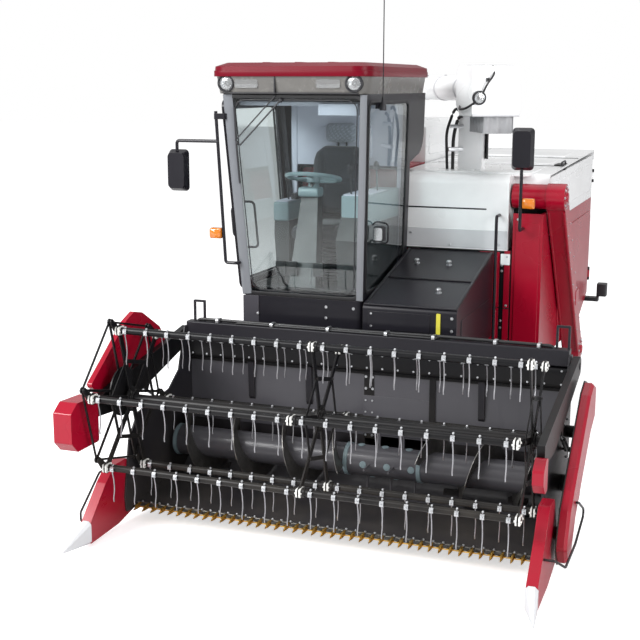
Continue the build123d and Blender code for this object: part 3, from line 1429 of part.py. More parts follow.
with BuildPart() as reel_frame:
    with BuildSketch(side(-arm_outer)):
        with Locations((reel_y, reel_z)):
            Circle(reel_shaft_r)
    extrude(amount=2 * arm_outer)
    for x in spider_x:
        with BuildSketch(side(x - spider_thick / 2)):
            with Locations((reel_y, reel_z)):
                Circle(75)
                for k in range(bar_count):
                    with Locations(Location((0, 0, 0), (0, 0, 90 + bar_lead + 60 * k))):
                        with Locations((bar_circle_r / 2, 0)):
                            Rectangle(bar_circle_r, 38)
            for k in range(bar_count):
                with Locations(bar_place(k)):
                    RegularPolygon(36, 8)
            for k in range(bar_count):
                with Locations(bar_place(k)):
                    RegularPolygon(bar_r + pin_gap, 12, major_radius=False, mode=Mode.SUBTRACT)
        extrude(amount=spider_thick)
reel_frame.part.label = "reel_frame"
export_step(reel_frame.part, "parts/reel_frame.step")

crank_length = hypot(*ring_shift)
crank_turn = degrees(atan2(ring_shift[1], ring_shift[0]))
ring_pin_r = 9.0
tine_wire = 7.0
for k in range(bar_count):
    y, z = bar_place(k)
    with BuildPart() as tine_bar:
        with BuildSketch(side(crank_x - 6)):
            with Locations((y, z)):
                Circle(bar_r)
        extrude(amount=bar_half - crank_x + 6)
        with BuildSketch(side(crank_x - 6)):
            with Locations((y, z)):
                RegularPolygon(bar_r + 4, 8)
                with Locations(Location((0, 0, 0), (0, 0, crank_turn))):
                    with Locations((crank_length / 2, 0)):
                        Rectangle(crank_length, 26)
            with Locations((y + ring_shift[0], z + ring_shift[1])):
                RegularPolygon(17, 8)
        extrude(amount=6)
        with BuildSketch(side(ring_x - 12)):
            with Locations((y + ring_shift[0], z + ring_shift[1])):
                RegularPolygon(ring_pin_r, 12)
        extrude(amount=crank_x - ring_x + 8)
        for n in range(tine_count):
            with BuildSketch(side((n - (tine_count - 1) / 2) * tine_pitch - tine_wire / 2)):
                Polygon(
                    (y - 4, z - bar_r + 4), (y - 4, z - 120), (y - 16, z - tine_length), (y - 9, z - tine_length),
                    (y + 3, z - 120), (y + 3, z - bar_r + 4), align=None,
                )
            extrude(amount=tine_wire)
    name = "tine_bar_" + str(k + 1)
    tine_bar.part.label = name
    export_step(tine_bar.part, "parts/" + name + ".step")

# Guide ring: turns with the reel about its own centre and keeps every tine upright.
guide_y, guide_z = reel_y + ring_shift[0], reel_z + ring_shift[1]
with BuildPart() as guide_ring:
    with BuildSketch(side(ring_x - 8)):
        with Locations((guide_y, guide_z)):
            Circle(guide_r + 18)
        for k in range(bar_count):
            with Locations((guide_y, guide_z)):
                with Locations(Location((0, 0, 0), (0, 0, 90 + bar_lead + 60 * k))):
                    with Locations(((guide_r + bar_circle_r) / 2, 0)):
                        Rectangle(bar_circle_r - guide_r, 16)
            y, z = bar_place(k)
            with Locations((y + ring_shift[0], z + ring_shift[1])):
                RegularPolygon(20, 8)
            y_next, z_next = bar_place(k + 1)
            with Locations(Location(
                ((y + y_next) / 2 + ring_shift[0], (z + z_next) / 2 + ring_shift[1], 0),
                (0, 0, degrees(atan2(z_next - z, y_next - y))),
            )):
                Rectangle(bar_circle_r, 12)
        for k in range(bar_count):
            y, z = bar_place(k)
            with Locations((y + ring_shift[0], z + ring_shift[1])):
                RegularPolygon(ring_pin_r + pin_gap, 12, major_radius=False, mode=Mode.SUBTRACT)
        with Locations((guide_y, guide_z)):
            Circle(guide_r, mode=Mode.SUBTRACT)
    extrude(amount=8)
guide_ring.part.label = "guide_ring"
export_step(guide_ring.part, "parts/guide_ring.step")

# Reel arms: pivot eyes at the back, a bearing for the reel and a red box at the front.
arm_front = -2480.0
# side of the machine, box front Y, box low and high Z, box outer X
arm_table = [
    (-1, -2770.0, 600.0, 880.0, platform_half + 132.0), (1, -2600.0, 620.0, 800.0, platform_half + 76.0),
]
with BuildPart() as reel_arms:
    for way, *_ in arm_table:
        inner, outer = sorted((way * arm_inner, way * arm_outer))
        with BuildSketch(side(inner)):
            with Locations((arm_y, arm_z)):
                Circle(58)
            Polygon(
                (arm_y, arm_z - 58), (reel_y + 60, reel_z - 62), (reel_y - 60, reel_z - 62), (arm_front, 745),
                (arm_front, 850), (-2300, 888), (arm_y, arm_z + 58), align=None,
            )
            with Locations((arm_y, arm_z)):
                Circle(arm_pin_r + pin_gap, mode=Mode.SUBTRACT)
            with Locations((reel_y, reel_z)):
                Circle(reel_shaft_r + pin_gap, mode=Mode.SUBTRACT)
        extrude(amount=outer - inner)
        # Lugs under the arm, either side of the cylinder's eye.
        for x in (way * reel_eye_x - 19, way * reel_eye_x + 13):
            with BuildSketch(side(x)):
                Polygon(
                    (reel_eye[0] - 50, reel_eye[1] + 60), (reel_eye[0] + 50, reel_eye[1] + 60),
                    (reel_eye[0] + 14, reel_eye[1] - 18), (reel_eye[0] - 14, reel_eye[1] - 18), align=None,
                )
            extrude(amount=6)
    # Hub that the guide ring runs on, standing in from the right arm.
    with BuildSketch(side(ring_x - 9)):
        with Locations((guide_y, guide_z)):
            Circle(guide_r - pin_gap)
        with Locations((reel_y, reel_z)):
            Circle(reel_shaft_r + 3, mode=Mode.SUBTRACT)
    extrude(amount=10)
    with BuildSketch(side(-arm_inner)):
        with Locations((reel_y, reel_z)):
            Circle(58)
            Circle(reel_shaft_r + 3, mode=Mode.SUBTRACT)
    extrude(amount=ring_x - 9 + arm_inner)
reel_arms.part.label = "reel_arms"
export_step(reel_arms.part, "parts/reel_arms.step")

# Arched red cover of the reel drive on the right arm, and the red box over the front end of each arm.
with BuildPart() as reel_drive_cover:
    with BuildSketch(side(-arm_outer - seat_gap - 44)):
        arch = Polygon(
            (-1560, 1000), (-1640, 1110), (-1860, 1240), (-1960, 1262), (-2060, 1225), (-2320, 1040), (-2490, 922),
            (-2424, 876), (-2380, 800), (-2200, 790), (-1700, 890), align=None,
        )
        fillet(arch.vertices(), 20)
    extrude(amount=44)
    cover_faces = reel_drive_cover.faces().sort_by(Axis.X)
    chamfer(cover_faces[0].edges(), 14)
    for way, box_front, box_low, box_high, box_outer in arm_table:
        low_x, high_x = sorted((way * arm_inner, way * box_outer))
        with BuildSketch(side(low_x)):
            box = Polygon(
                (box_front, box_low + 60), (box_front, box_high - 50), (box_front + 70, box_high),
                (arm_front - seat_gap, box_high - 10), (arm_front - seat_gap, box_low),
                (box_front + 60, box_low), align=None,
            )
            fillet(box.vertices(), 16)
        extrude(amount=high_x - low_x)
reel_drive_cover.part.label = "reel_drive_cover"
export_step(reel_drive_cover.part, "parts/reel_drive_cover.step")

# ---------------------------------------------------------------- hydraulic cylinders
# Each one turns on a fixed foot and slides towards its eye in an upright fore-and-aft plane.
# name, X of the middle lines, foot, eye, barrel, rod and foot pin radius
cylinder_table = [
    ("header", [lift_x], (lift_y, deck_low), (-1100.0, 280.0), 32.0, 18.0, lift_pin_r),
    ("reel", [-reel_eye_x, reel_eye_x], reel_foot, reel_eye, 15.0, 8.0, reel_pin_r),
]
for name, middles, foot, eye, barrel_r, rod_radius, pin_r in cylinder_table:
    reach = Vector(eye[0] - foot[0], eye[1] - foot[1])
    lean = reach.normalized()
    eye_outer = rod_radius + 5
    with BuildPart() as barrel:
        for x in middles:
            along = Plane(origin=(x, foot[0], foot[1]), x_dir=(1, 0, 0), z_dir=(0, lean.X, lean.Y))
            with BuildSketch(along):
                Circle(barrel_r)
            extrude(amount=reach.length * 0.56)
            with BuildSketch(along.offset(barrel_r + 10)):
                Circle(rod_radius + pin_gap)
            extrude(amount=reach.length, mode=Mode.SUBTRACT)
            with BuildSketch(side(x - barrel_r)):
                with Locations(foot):
                    Circle(barrel_r)
            extrude(amount=2 * barrel_r)
            with BuildSketch(side(x - barrel_r)):
                with Locations(foot):
                    Circle(pin_r + pin_gap)
            extrude(amount=2 * barrel_r, mode=Mode.SUBTRACT)
    barrel.part.label = name + "_cylinder"
    export_step(barrel.part, "parts/" + name + "_cylinder.step")
    with BuildPart() as rod:
        for x in middles:
            along = Plane(origin=(x, foot[0], foot[1]), x_dir=(1, 0, 0), z_dir=(0, lean.X, lean.Y))
            with BuildSketch(along.offset(barrel_r + 14)):
                Circle(rod_radius)
            extrude(amount=reach.length - barrel_r - 14 - eye_outer + 3)
            with BuildSketch(side(x - rod_radius - 2)):
                with Locations(eye):
                    Circle(eye_outer)
                    Circle(eye_outer * 0.55, mode=Mode.SUBTRACT)
            extrude(amount=2 * rod_radius + 4)
    rod.part.label = name + "_rod"
    export_step(rod.part, "parts/" + name + "_rod.step")

# ---------------------------------------------------------------- outfit of the machine
# X, Y, Z of the middle, width and height of each mirror head
mirror_table = [(-1348.0, -1250.0, 2068.0, 144.0, 270.0), (726.0, -330.0, 2200.0, 150.0, 280.0)]
# Black tubes: the right mirror's stay, the left mirror's pole and the grab rail beside it.
stay_r = 11.0
stay_y = mirror_table[0][1]
pole_x, pole_y = mirror_table[1][0], mirror_table[1][1]
rail_paths = [
    [(-1068.0, stay_y, 2450.0), (-1012.0, stay_y, 1480.0), (-930.0, stay_y, 1480.0),
     (-930.0, wall_y(1480 + stay_r) - seat_gap, 1480.0)],
    [(-1052.0, stay_y, 2260.0), (-1348.0, stay_y, 2260.0), (-1348.0, stay_y, 2193.3)],
    [(pole_x, pole_y, 2069.7), (pole_x, pole_y, 1660.0), (pole_x, panel_face - seat_gap, 1660.0)],
    [(hood_front_left - 60, hood_front - seat_gap, 1745.0), (hood_front_left - 60, -300.0, 1745.0),
     (hood_front_left - 60, -300.0, 780.0), (hood_front_left - 60, panel_face - seat_gap, 780.0)],
]
antenna_x, antenna_y, antenna_top = -14.0, -1060.0, 3500.0
with BuildPart() as mirrors_antenna:
    # Heads of the mirrors.
    for x, y, z, wide, high in mirror_table:
        with BuildSketch(front(y + 28)):
            with Locations((x, z)):
                RectangleRounded(wide, high, 28)
        with BuildSketch(front(y - 28)):
            with Locations((x, z)):
                RectangleRounded(wide - 30, high - 40, 28)
        loft()
    for path in rail_paths:
        with BuildLine():
            tube = FilletPolyline(*path, radius=18) if len(path) > 2 else Line(*path)
        with BuildSketch(Plane(origin=tube @ 0, z_dir=tube % 0)):
            RegularPolygon(stay_r, 8)
        sweep()
    # Upper clamp of the right stay on the windscreen pillar.
    with BuildSketch(flat(2400)):
        Polygon(
            (-1075, stay_y - 12), (-1005, stay_y - 12), (-990, wall_y(2436) - seat_gap), (-1012, wall_y(2436) - seat_gap),
            (-1040, stay_y + 12), (-1075, stay_y + 12), align=None,
        )
    extrude(amount=36)
    # Whip antenna on its bracket beside the cab's roof.
    with BuildSketch(flat(2480)):
        with Locations((antenna_x, antenna_y)):
            RegularPolygon(3.5, 8)
    extrude(amount=antenna_top - 2480)
    with BuildSketch(flat(2470)):
        with Locations((antenna_x, antenna_y)):
            Circle(12)
        with Locations(((antenna_x + wall_x(cab_left, 2510) + seat_gap) / 2, antenna_y)):
            Rectangle(antenna_x - wall_x(cab_left, 2510) - seat_gap, 16)
    extrude(amount=40)
mirrors_antenna.part.label = "mirrors_antenna"
export_step(mirrors_antenna.part, "parts/mirrors_antenna.step")

# Lamps: two round ones in the fascia, the indicators and the rear combination lamps.
with BuildPart() as lamps:
    for x in lamp_x:
        with BuildSketch(front(roof_front + 60 - seat_gap)):
            with Locations((x, cab_top + fascia_height / 2)):
                Circle(lamp_r)
        extrude(amount=40)
    for x, y, z in ((-1077.8, stay_y, 1670.0), (pole_x + 53.3, pole_y, 1842.0)):
        with BuildSketch(front(y + 22)):
            with Locations((x, z)):
                RectangleRounded(84, 70, 14)
        extrude(amount=44)
    with BuildSketch(flat(790)):
        Polygon(
            (body_left, 2200), (body_left + 10, 2200), (body_left + 10, 2262), (960, 2262), (960, 2290),
            (body_left, 2290), align=None,
        )
    extrude(amount=36)
    with BuildSketch(flat(790)):
        with Locations((975, 2330)):
            RectangleRounded(84, 128, 12)
    extrude(amount=110)
    with BuildSketch(flat(deck_high)):
        with Locations((-900, deck_stations[3])):
            RectangleRounded(84, 56, 12)
    extrude(amount=110)
lamps.part.label = "lamps"
export_step(lamps.part, "parts/lamps.step")

with BuildPart() as fuel_tank:
    with BuildSketch(front(1300)):
        saddle = Polygon((-1040, deck_high), (-770, deck_high), (-770, 785), (-1040, 1110), align=None)
        fillet(saddle.vertices(), 18)
    extrude(amount=610)
fuel_tank.part.label = "fuel_tank"
export_step(fuel_tank.part, "parts/fuel_tank.step")

# Two-tread step below the cab door, hung from the platform.
step_right, step_front, step_rear = -1050.0, -980.0, -640.0
with BuildPart() as entry_step:
    for y in (step_front, step_rear - 8):
        with BuildSketch(front(y + 8)):
            Polygon(
                (-910, deck_low), (-910, deck_high), (-945, deck_high), (step_right, 560), (step_right, 370),
                (-960, 370), (-960, 600), align=None,
            )
        extrude(amount=8)
    for z in (372.0, 548.0):
        with BuildSketch(flat(z)):
            with Locations(((step_right - 960) / 2, (step_front + step_rear) / 2)):
                Rectangle(-960 - step_right, step_rear - step_front - 1)
        extrude(amount=8)
entry_step.part.label = "entry_step"
export_step(entry_step.part, "parts/entry_step.step")
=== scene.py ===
"""Looks of the compact tracked combine harvester: its finishes, wires, pads, lamps, bolts and pipes.

Surfaces are worked out in millimetres, in the frame of the CAD, and set into metres when they are made.
+Z is up, the machine drives towards -Y, and +X is its left side.
"""
import math
from functools import partial

import bmesh
import bpy
import numpy as np
from mathutils import Matrix, Vector


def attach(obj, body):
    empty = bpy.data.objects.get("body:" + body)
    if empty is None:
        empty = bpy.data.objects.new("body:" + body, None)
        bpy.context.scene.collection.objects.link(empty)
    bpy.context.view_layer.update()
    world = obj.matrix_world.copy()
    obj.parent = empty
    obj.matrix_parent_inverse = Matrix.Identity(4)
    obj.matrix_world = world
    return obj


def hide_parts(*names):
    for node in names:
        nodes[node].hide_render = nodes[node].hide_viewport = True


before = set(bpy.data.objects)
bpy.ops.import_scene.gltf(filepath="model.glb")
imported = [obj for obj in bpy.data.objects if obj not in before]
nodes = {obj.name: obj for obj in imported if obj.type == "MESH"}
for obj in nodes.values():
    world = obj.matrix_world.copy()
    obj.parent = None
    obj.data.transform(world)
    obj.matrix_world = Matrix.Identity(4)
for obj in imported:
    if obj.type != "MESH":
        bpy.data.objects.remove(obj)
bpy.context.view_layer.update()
MM = 0.001
X, Y, Z = np.eye(3)


# ---------------------------------------------------------------- finishes
def linear(hex_code, shade=1.0):
    """The linear colour of an sRGB hex code, times shade: a power curve over 0.04, a line below it."""
    parts = [int(hex_code[k:k + 2], 16) / 255 for k in (1, 3, 5)]
    return tuple(shade * (((c + 0.055) / 1.055) ** 2.4 if c > 0.04045 else c / 12.92) for c in parts) + (1.0,)


def add(tree_owner, kind, feeds=(), **settings):
    """Adds one node and gives its outputs. settings are the node's own, and feeds gives its inputs, in order
    or by name, a value or another node's output. A MapRange takes the value, its from and its to range."""
    made = tree_owner.node_tree.nodes.new("ShaderNode" + kind)
    for name, value in settings.items():
        setattr(made, name, value)
    for name, value in feeds.items() if isinstance(feeds, dict) else enumerate(feeds):
        if isinstance(value, bpy.types.NodeSocket):
            tree_owner.node_tree.links.new(value, made.inputs[name])
        else:
            made.inputs[name].default_value = value
    return made.outputs


def blank(name):
    """A new material, the call that adds a node to it, and the point's place in the object's own frame."""
    material = bpy.data.materials.new(name)
    material.use_nodes = True
    material.node_tree.nodes.clear()
    node = partial(add, material)
    return material, node, node("TexCoord")["Object"]


RUBBED, DUST = linear("#B5B0AA"), linear("#8C8273")      # primer and steel at worn edges, dry field dust


def paint(name, hex_code, gloss, dust, dust_top=0.9, coat=0.0, edge=0.3, peel_mm=9.0, mirror=0.35):
    """Sprayed enamel on sheet steel: orange peel ripples the gloss, edges are rounded and a little rubbed,
    wipe marks vary the shine, and a film of field dust thins out upwards to dust_top metres."""
    material, node, place = blank(name)
    round_edge = node("Bevel", {"Radius": 0.003}, samples=4)[0]
    flat_face = node("NewGeometry")["True Normal"]
    turn = node("VectorMath", (round_edge, flat_face), operation="DOT_PRODUCT")["Value"]
    rubbed = node("MapRange", (turn, 0.99, 0.8))[0]
    cloud = node("TexNoise", {"Vector": place, "Scale": 1 / 0.35, "Detail": 5.0, "Roughness": 0.6})[0]
    grain = node("TexNoise", {"Vector": place, "Scale": 1 / 0.004, "Detail": 2.0})[0]
    wiped = node("Mapping", {"Vector": place, "Scale": (3.5, 1.2, 3.0)})[0]
    smear = node("TexNoise", {"Vector": wiped, "Scale": 1.0, "Detail": 2.0})[0]
    height = node("SeparateXYZ", {"Vector": place})["Z"]
    low = node("MapRange", (height, dust_top, 0.0, 0.0, dust))[0]
    patch = node("MapRange", (cloud, 0.35, 0.7, 0.2))[0]
    speck = node("MapRange", (grain, 0.3, 0.75, 0.5))[0]
    film = node("Math", (low, patch), operation="MULTIPLY")[0]
    film = node("Math", (film, speck), operation="MULTIPLY")[0]
    deep = node("MapRange", (cloud, 0.3, 0.7, 0.0, 0.5))[0]
    colour = node("Mix", {"Factor": deep, 6: linear(hex_code), 7: linear(hex_code, 0.82)}, data_type="RGBA")
    worn = node("Math", (rubbed, grain), operation="MULTIPLY")[0]
    worn = node("Math", (worn, edge), operation="MULTIPLY")[0]
    colour = node("Mix", {"Factor": worn, 6: colour[2], 7: RUBBED}, data_type="RGBA")
    colour = node("Mix", {"Factor": film, 6: colour[2], 7: DUST}, data_type="RGBA")
    shine = node("MapRange", (smear, 0.3, 0.75, gloss * 0.92, gloss * 1.12))[0]
    dull = node("Math", (film, 0.7), operation="MULTIPLY")[0]
    rough = node("Math", (shine, dull), operation="ADD")[0]
    peel = node("TexNoise", {"Vector": place, "Scale": 1000 / peel_mm, "Detail": 1.0})[0]
    bump = node("Bump", {"Height": peel, "Distance": 0.0001, "Strength": 0.3, "Normal": round_edge})
    shader = node("BsdfPrincipled", {
        "Base Color": colour[2], "Roughness": rough, "Normal": bump[0], "IOR": 1.5,
        "Specular IOR Level": mirror, "Coat Weight": coat, "Coat Roughness": 0.06})
    node("OutputMaterial", {"Surface": shader[0]})
    return material


def metal(name, hex_code, stain_hex, roughness, grain, stain):
    """Bare or plated metal: brushed or rolled lines along grain, stained where crop and damp touch it."""
    material, node, place = blank(name)
    lines = node("Mapping", {"Vector": place, "Scale": grain})[0]
    brushed = node("TexNoise", {"Vector": lines, "Scale": 1.0, "Detail": 3.0})[0]
    cloud = node("TexNoise", {"Vector": place, "Scale": 1 / 0.05, "Detail": 6.0, "Roughness": 0.65})[0]
    fine = node("TexNoise", {"Vector": place, "Scale": 1 / 0.0008, "Detail": 2.0})[0]
    mark = node("MapRange", (cloud, 0.42, 0.7, 0.0, stain))[0]
    colour = node("Mix", {"Factor": mark, 6: linear(hex_code), 7: linear(stain_hex)}, data_type="RGBA")
    shine = node("MapRange", (brushed, 0.3, 0.7, roughness * 0.75, roughness * 1.3))
    dull = node("MapRange", (cloud, 0.45, 0.7, 0.0, 0.18))[0]
    rough = node("Math", (shine[0], dull), operation="ADD")[0]
    height = node("Math", (brushed, fine), operation="ADD")[0]
    bump = node("Bump", {"Height": height, "Distance": 0.0001, "Strength": 0.3})[0]
    shader = node("BsdfPrincipled", {
        "Base Color": colour[2], "Metallic": 1.0, "Roughness": rough, "Normal": bump})
    node("OutputMaterial", {"Surface": shader[0]})
    return material


def polymer(name, hex_code, light_hex, roughness, texture_mm, depth_mm, scuff=0.25):
    """Moulded plastic or rubber: a fine stipple from the mould, paler scuffs where hands and straw rub."""
    material, node, place = blank(name)
    stipple = node("TexVoronoi", {"Vector": place, "Scale": 1000 / texture_mm}, feature="SMOOTH_F1")[0]
    cloud = node("TexNoise", {"Vector": place, "Scale": 1 / 0.09, "Detail": 7.0, "Roughness": 0.62})[0]
    rubbed = node("MapRange", (cloud, 0.45, 0.75, 0.0, scuff))[0]
    colour = node("Mix", {"Factor": rubbed, 6: linear(hex_code), 7: linear(light_hex)}, data_type="RGBA")
    rough = node("MapRange", (cloud, 0.3, 0.7, roughness * 0.85, min(1.0, roughness * 1.15)))
    round_edge = node("Bevel", {"Radius": 0.003}, samples=4)[0]
    bump = node("Bump", {
        "Height": stipple, "Distance": depth_mm * MM, "Strength": 0.6, "Normal": round_edge})[0]
    shader = node("BsdfPrincipled", {
        "Base Color": colour[2], "Roughness": rough[0], "Normal": bump, "IOR": 1.5})
    node("OutputMaterial", {"Surface": shader[0]})
    return material


def weave(name, hex_code, light_hex):
    """Woven seat cloth: two crossing sets of soft ribs 19 mm apart, as its threads are too fine to show."""
    material, node, place = blank(name)
    turned_place = node("Mapping", {"Vector": place, "Rotation": (0.0, 0.6, 0.785)})[0]
    warp = node("TexWave", {"Vector": turned_place, "Scale": 50 / 3}, bands_direction="X")[1]
    weft = node("TexWave", {"Vector": turned_place, "Scale": 50 / 3}, bands_direction="Z")[1]
    cross = node("Math", (warp, weft), operation="MULTIPLY")[0]
    cloud = node("TexNoise", {"Vector": place, "Scale": 1 / 0.12, "Detail": 4.0})[0]
    worn = node("MapRange", (cloud, 0.4, 0.7, 0.0, 0.3))[0]
    thread = node("Mix", {"Factor": cross, 6: linear(hex_code), 7: linear(light_hex)}, data_type="RGBA")
    colour = node("Mix", {"Factor": worn, 6: thread[2], 7: linear(light_hex)}, data_type="RGBA")
    bump = node("Bump", {"Height": cross, "Distance": 0.0006, "Strength": 0.8})[0]
    shader = node("BsdfPrincipled", {
        "Base Color": colour[2], "Roughness": 0.92, "Normal": bump, "Sheen Weight": 0.35,
        "Sheen Roughness": 0.5})
    node("OutputMaterial", {"Surface": shader[0]})
    return material


def pane(name, hex_code):
    """Tempered safety glass, faintly grey-green, with a breath of dust. Lamps shine through it."""
    material, node, place = blank(name)
    cloud = node("TexNoise", {"Vector": place, "Scale": 1 / 0.25, "Detail": 6.0})[0]
    rough = node("MapRange", (cloud, 0.4, 0.75, 0.0, 0.05))[0]
    glass = node("BsdfPrincipled", {
        "Base Color": linear(hex_code), "Roughness": rough, "Transmission Weight": 1.0, "IOR": 1.45,
        "Specular IOR Level": 0.3})[0]
    clear = node("BsdfTransparent", {"Color": linear(hex_code)})[0]
    path = node("LightPath")
    soft = node("Math", (path["Is Shadow Ray"], path["Is Diffuse Ray"]), operation="MAXIMUM")[0]
    both = node("MixShader", (soft, glass, clear))[0]
    node("OutputMaterial", {"Surface": both})
    return material


def lens(name, hex_code, clear):
    """Moulded lamp lens: polycarbonate with shallow ribs 38 mm apart. It lets the share clear through."""
    material, node, place = blank(name)
    ribs = node("TexWave", {"Vector": place, "Scale": 25 / 3}, bands_direction="X")[1]
    cloud = node("TexNoise", {"Vector": place, "Scale": 1 / 0.02, "Detail": 3.0})[0]
    shade = node("MapRange", (cloud, 0.3, 0.7, 0.0, 0.3))[0]
    colour = node("Mix", {"Factor": shade, 6: linear(hex_code), 7: linear(hex_code, 0.8)}, data_type="RGBA")
    bump = node("Bump", {"Height": ribs, "Distance": 0.001, "Strength": 0.5})[0]
    shader = node("BsdfPrincipled", {
        "Base Color": colour[2], "Roughness": 0.12, "Normal": bump, "Transmission Weight": clear,
        "IOR": 1.58, "Coat Weight": 0.5, "Coat Roughness": 0.05})
    node("OutputMaterial", {"Surface": shader[0]})
    return material


# Crimson two-coat enamel on pressed panels: deep, glossy, clear reflections.
crimson = paint("crimson_enamel", "#9B0524", 0.28, dust=0.1, dust_top=0.5, coat=0.08, edge=0.12)
# The same enamel on the roof, darker: painted shade.
shaded_roof_red = paint("shaded_crimson_enamel", "#6B041A", 0.34, dust=0.1, dust_top=0.5, edge=0.05, mirror=0.14)
# Cool white enamel of the hood, the grain tank and the unloading pipe.
white = paint("white_enamel", "#F4F5F6", 0.28, dust=0.08, dust_top=0.4, coat=0.3)
# The same enamel a shade greyer, on the divider noses and on folds that face down: the grey is painted shade.
shaded_white = paint("shaded_white_enamel", "#CFD0D3", 0.3, dust=0.1, dust_top=0.5, coat=0.2)
# Satin black chassis paint, dusty low down.
black = paint("chassis_black_enamel", "#0E0E11", 0.36, dust=0.22, dust_top=1.0, edge=0.2, mirror=0.22)
# Semi-gloss charcoal on cab posts and the housing beside the cab.
charcoal = paint("charcoal_cab_enamel", "#1B1A20", 0.32, dust=0.12, coat=0.05, edge=0.25, mirror=0.25)
# Grey lacquer on the windscreen's posts.
post_grey = paint("grey_post_lacquer", "#73767B", 0.3, dust=0.1, coat=0.2)
# Dark grey enamel of the plinth's corner plate, lighter than the plinth: painted light, as on a corner turned
# to the lamps.
lit_corner_grey = paint("lit_corner_enamel", "#3F3E44", 0.36, dust=0.2)
# Charcoal enamel of the header's frame, dull under straw dust.
header_grey = paint("header_frame_enamel", "#222126", 0.38, dust=0.22, dust_top=0.8, mirror=0.25)
# Header sheet: charcoal enamel worn by straw, its lighter grey partly that wear and partly a painted sheen.
straw_worn_sheen = paint("straw_worn_sheen_enamel", "#4C4B50", 0.34, dust=0.15, dust_top=0.5, coat=0.15)
# Dark grey enamel of the engine casting, thick and dull.
engine_grey = paint("engine_casting_enamel", "#3A3D3E", 0.5, dust=0.3, peel_mm=3.0)
# Yellow-passivated zinc on the knife guards: brassy, browned where soil has rubbed it.
gold_zinc = metal("yellow_zinc_plate", "#E0B45C", "#6A4E2A", 0.36, (20.0, 400.0, 400.0), stain=0.4)
# Hardened carbon steel of the knife sections, bright where it is ground.
knife_steel = metal("ground_knife_steel", "#B9B7B2", "#6B5A48", 0.3, (500.0, 20.0, 300.0), stain=0.45)
# Mill-finish steel that crop rubs bright.
bare_steel = metal("rubbed_mill_steel", "#8D8B88", "#4A423B", 0.36, (400.0, 30.0, 400.0), stain=0.4)
# Spring steel wire of the tines, phosphated to a pale grey.
tine_wire = metal("phosphated_spring_wire", "#A9A9AD", "#5C5652", 0.38, (300.0, 300.0, 30.0), stain=0.3)
# Bright zinc plate of bolts and clamps.
bright_zinc = metal("bright_zinc_plate", "#CFD1D4", "#8B8C8C", 0.32, (200.0, 200.0, 200.0), stain=0.3)
# Hard chrome on the piston rods and lamp bowls.
chrome = metal("hard_chrome", "#D9DADC", "#9A9A9C", 0.08, (40.0, 900.0, 900.0), stain=0.1)
# Heat-blued steel of the exhaust.
burnt = metal("heat_blued_steel", "#5C5048", "#2E2622", 0.55, (60.0, 60.0, 60.0), stain=0.6)
# Natural rubber with carbon black, chalky where it flexes.
track_rubber = polymer("carbon_black_rubber", "#17171A", "#4A4744", 0.78, 3.0, 0.35, scuff=0.4)
# Frosted polycarbonate band round the roof, warm grey over the lamps' wiring.
frosted = polymer("frosted_polycarbonate", "#62605D", "#787672", 0.26, 2.6, 0.04, scuff=0.5)
# Grained ABS of mirrors, lamps, latches and other dark mouldings.
grained_abs = polymer("grained_abs", "#202024", "#3C3C42", 0.45, 1.6, 0.12, scuff=0.2)
# Pale blue-grey ABS of the console's caps, the steering wheel and the auger's collars.
grey_abs = polymer("grey_console_abs", "#75868B", "#889599", 0.45, 1.6, 0.1, scuff=0.2)
# Dark ABS of the console's sides and the column.
dark_abs = polymer("dark_console_abs", "#14191B", "#1C2124", 0.5, 1.6, 0.05, scuff=0.25)
# Headliner and rear trim of the cab, a grey felted moulding.
trim_felt = polymer("grey_trim_felt", "#B4B5C2", "#C6C7D0", 0.85, 2.4, 0.3, scuff=0.3)
# White nylon of the reel's bushings.
nylon = polymer("white_nylon", "#E6E6E2", "#C9C7BF", 0.42, 2.0, 0.05, scuff=0.3)
# Soft PVC of window seals and hose covers.
soft_pvc = polymer("soft_black_pvc", "#121214", "#35353A", 0.46, 2.0, 0.08, scuff=0.2)
# Woven charcoal polyester on the seat.
seat_cloth = weave("charcoal_polyester_weave", "#1D1E22", "#3A3C44")
# The headrest's paler cloth.
light_cloth = weave("grey_polyester_weave", "#6E717A", "#8E919A")
# Tempered glass of the cab: the inside shows through it, greyed a little.
window_glass = pane("tempered_glass", "#EEF4F4")
# Prismatic polycarbonate of the lamps, clear over their bright bowls.
clear_lens = lens("clear_lamp_lens", "#F2F4F5", clear=0.85)
# The same dyed through for the direction lamps, deep orange with bright ribs.
amber_lens = lens("amber_lamp_lens", "#F58A1E", clear=0.3)
# And for the rear lamps, dark red until the sun strikes it.
red_lens = lens("red_lamp_lens", "#B40F14", clear=0.3)
# Yellow vinyl of the plain strip on the shroud.
yellow_vinyl = polymer("yellow_vinyl", "#C6BE3C", "#D8D27A", 0.4, 2.0, 0.03)
# Grey rubber of the spout's curtain, paler where it is scuffed.
curtain_rubber = polymer("grey_curtain_rubber", "#A2A3A6", "#BDBDBF", 0.55, 3.0, 0.2, scuff=0.5)

NODE_FINISH = {
    shaded_roof_red: "cab_roof",
    crimson: "side_cover front_panels return_elevator reel_drive_cover crop_dividers drive_cover "
             "engine_housing rear_hood",
    shaded_white: "divider_noses",
    white: "thresher_cover side_cover_top unload_spout unload_tube unload_elbow unload_riser "
           "auger_rest grain_tank",
    black: "main_frame track_frames thresher_body drive_casing reel_frame reel_arms fuel_tank entry_step "
           "header_cylinder reel_cylinder unload_cylinder feeder_house radiator_door guide_ring",
    charcoal: "cab_shell cab_base cab_door feeder_cover mirrors_antenna crop_rods",
    header_grey: "header_frame",
    straw_worn_sheen: "platform_auger",
    gold_zinc: "cutterbar",
    tine_wire: "tine_bar_1 tine_bar_2 tine_bar_3 tine_bar_4 tine_bar_5 tine_bar_6",
    chrome: "header_rod reel_rod unload_rod",
    engine_grey: "engine",
    track_rubber: "left_track right_track",
    frosted: "roof_fascia",
    dark_abs: "control_console",
    grey_abs: "steering_wheel",
    seat_cloth: "operator_seat",
    window_glass: "cab_glass door_glass",
    clear_lens: "lamps",
}
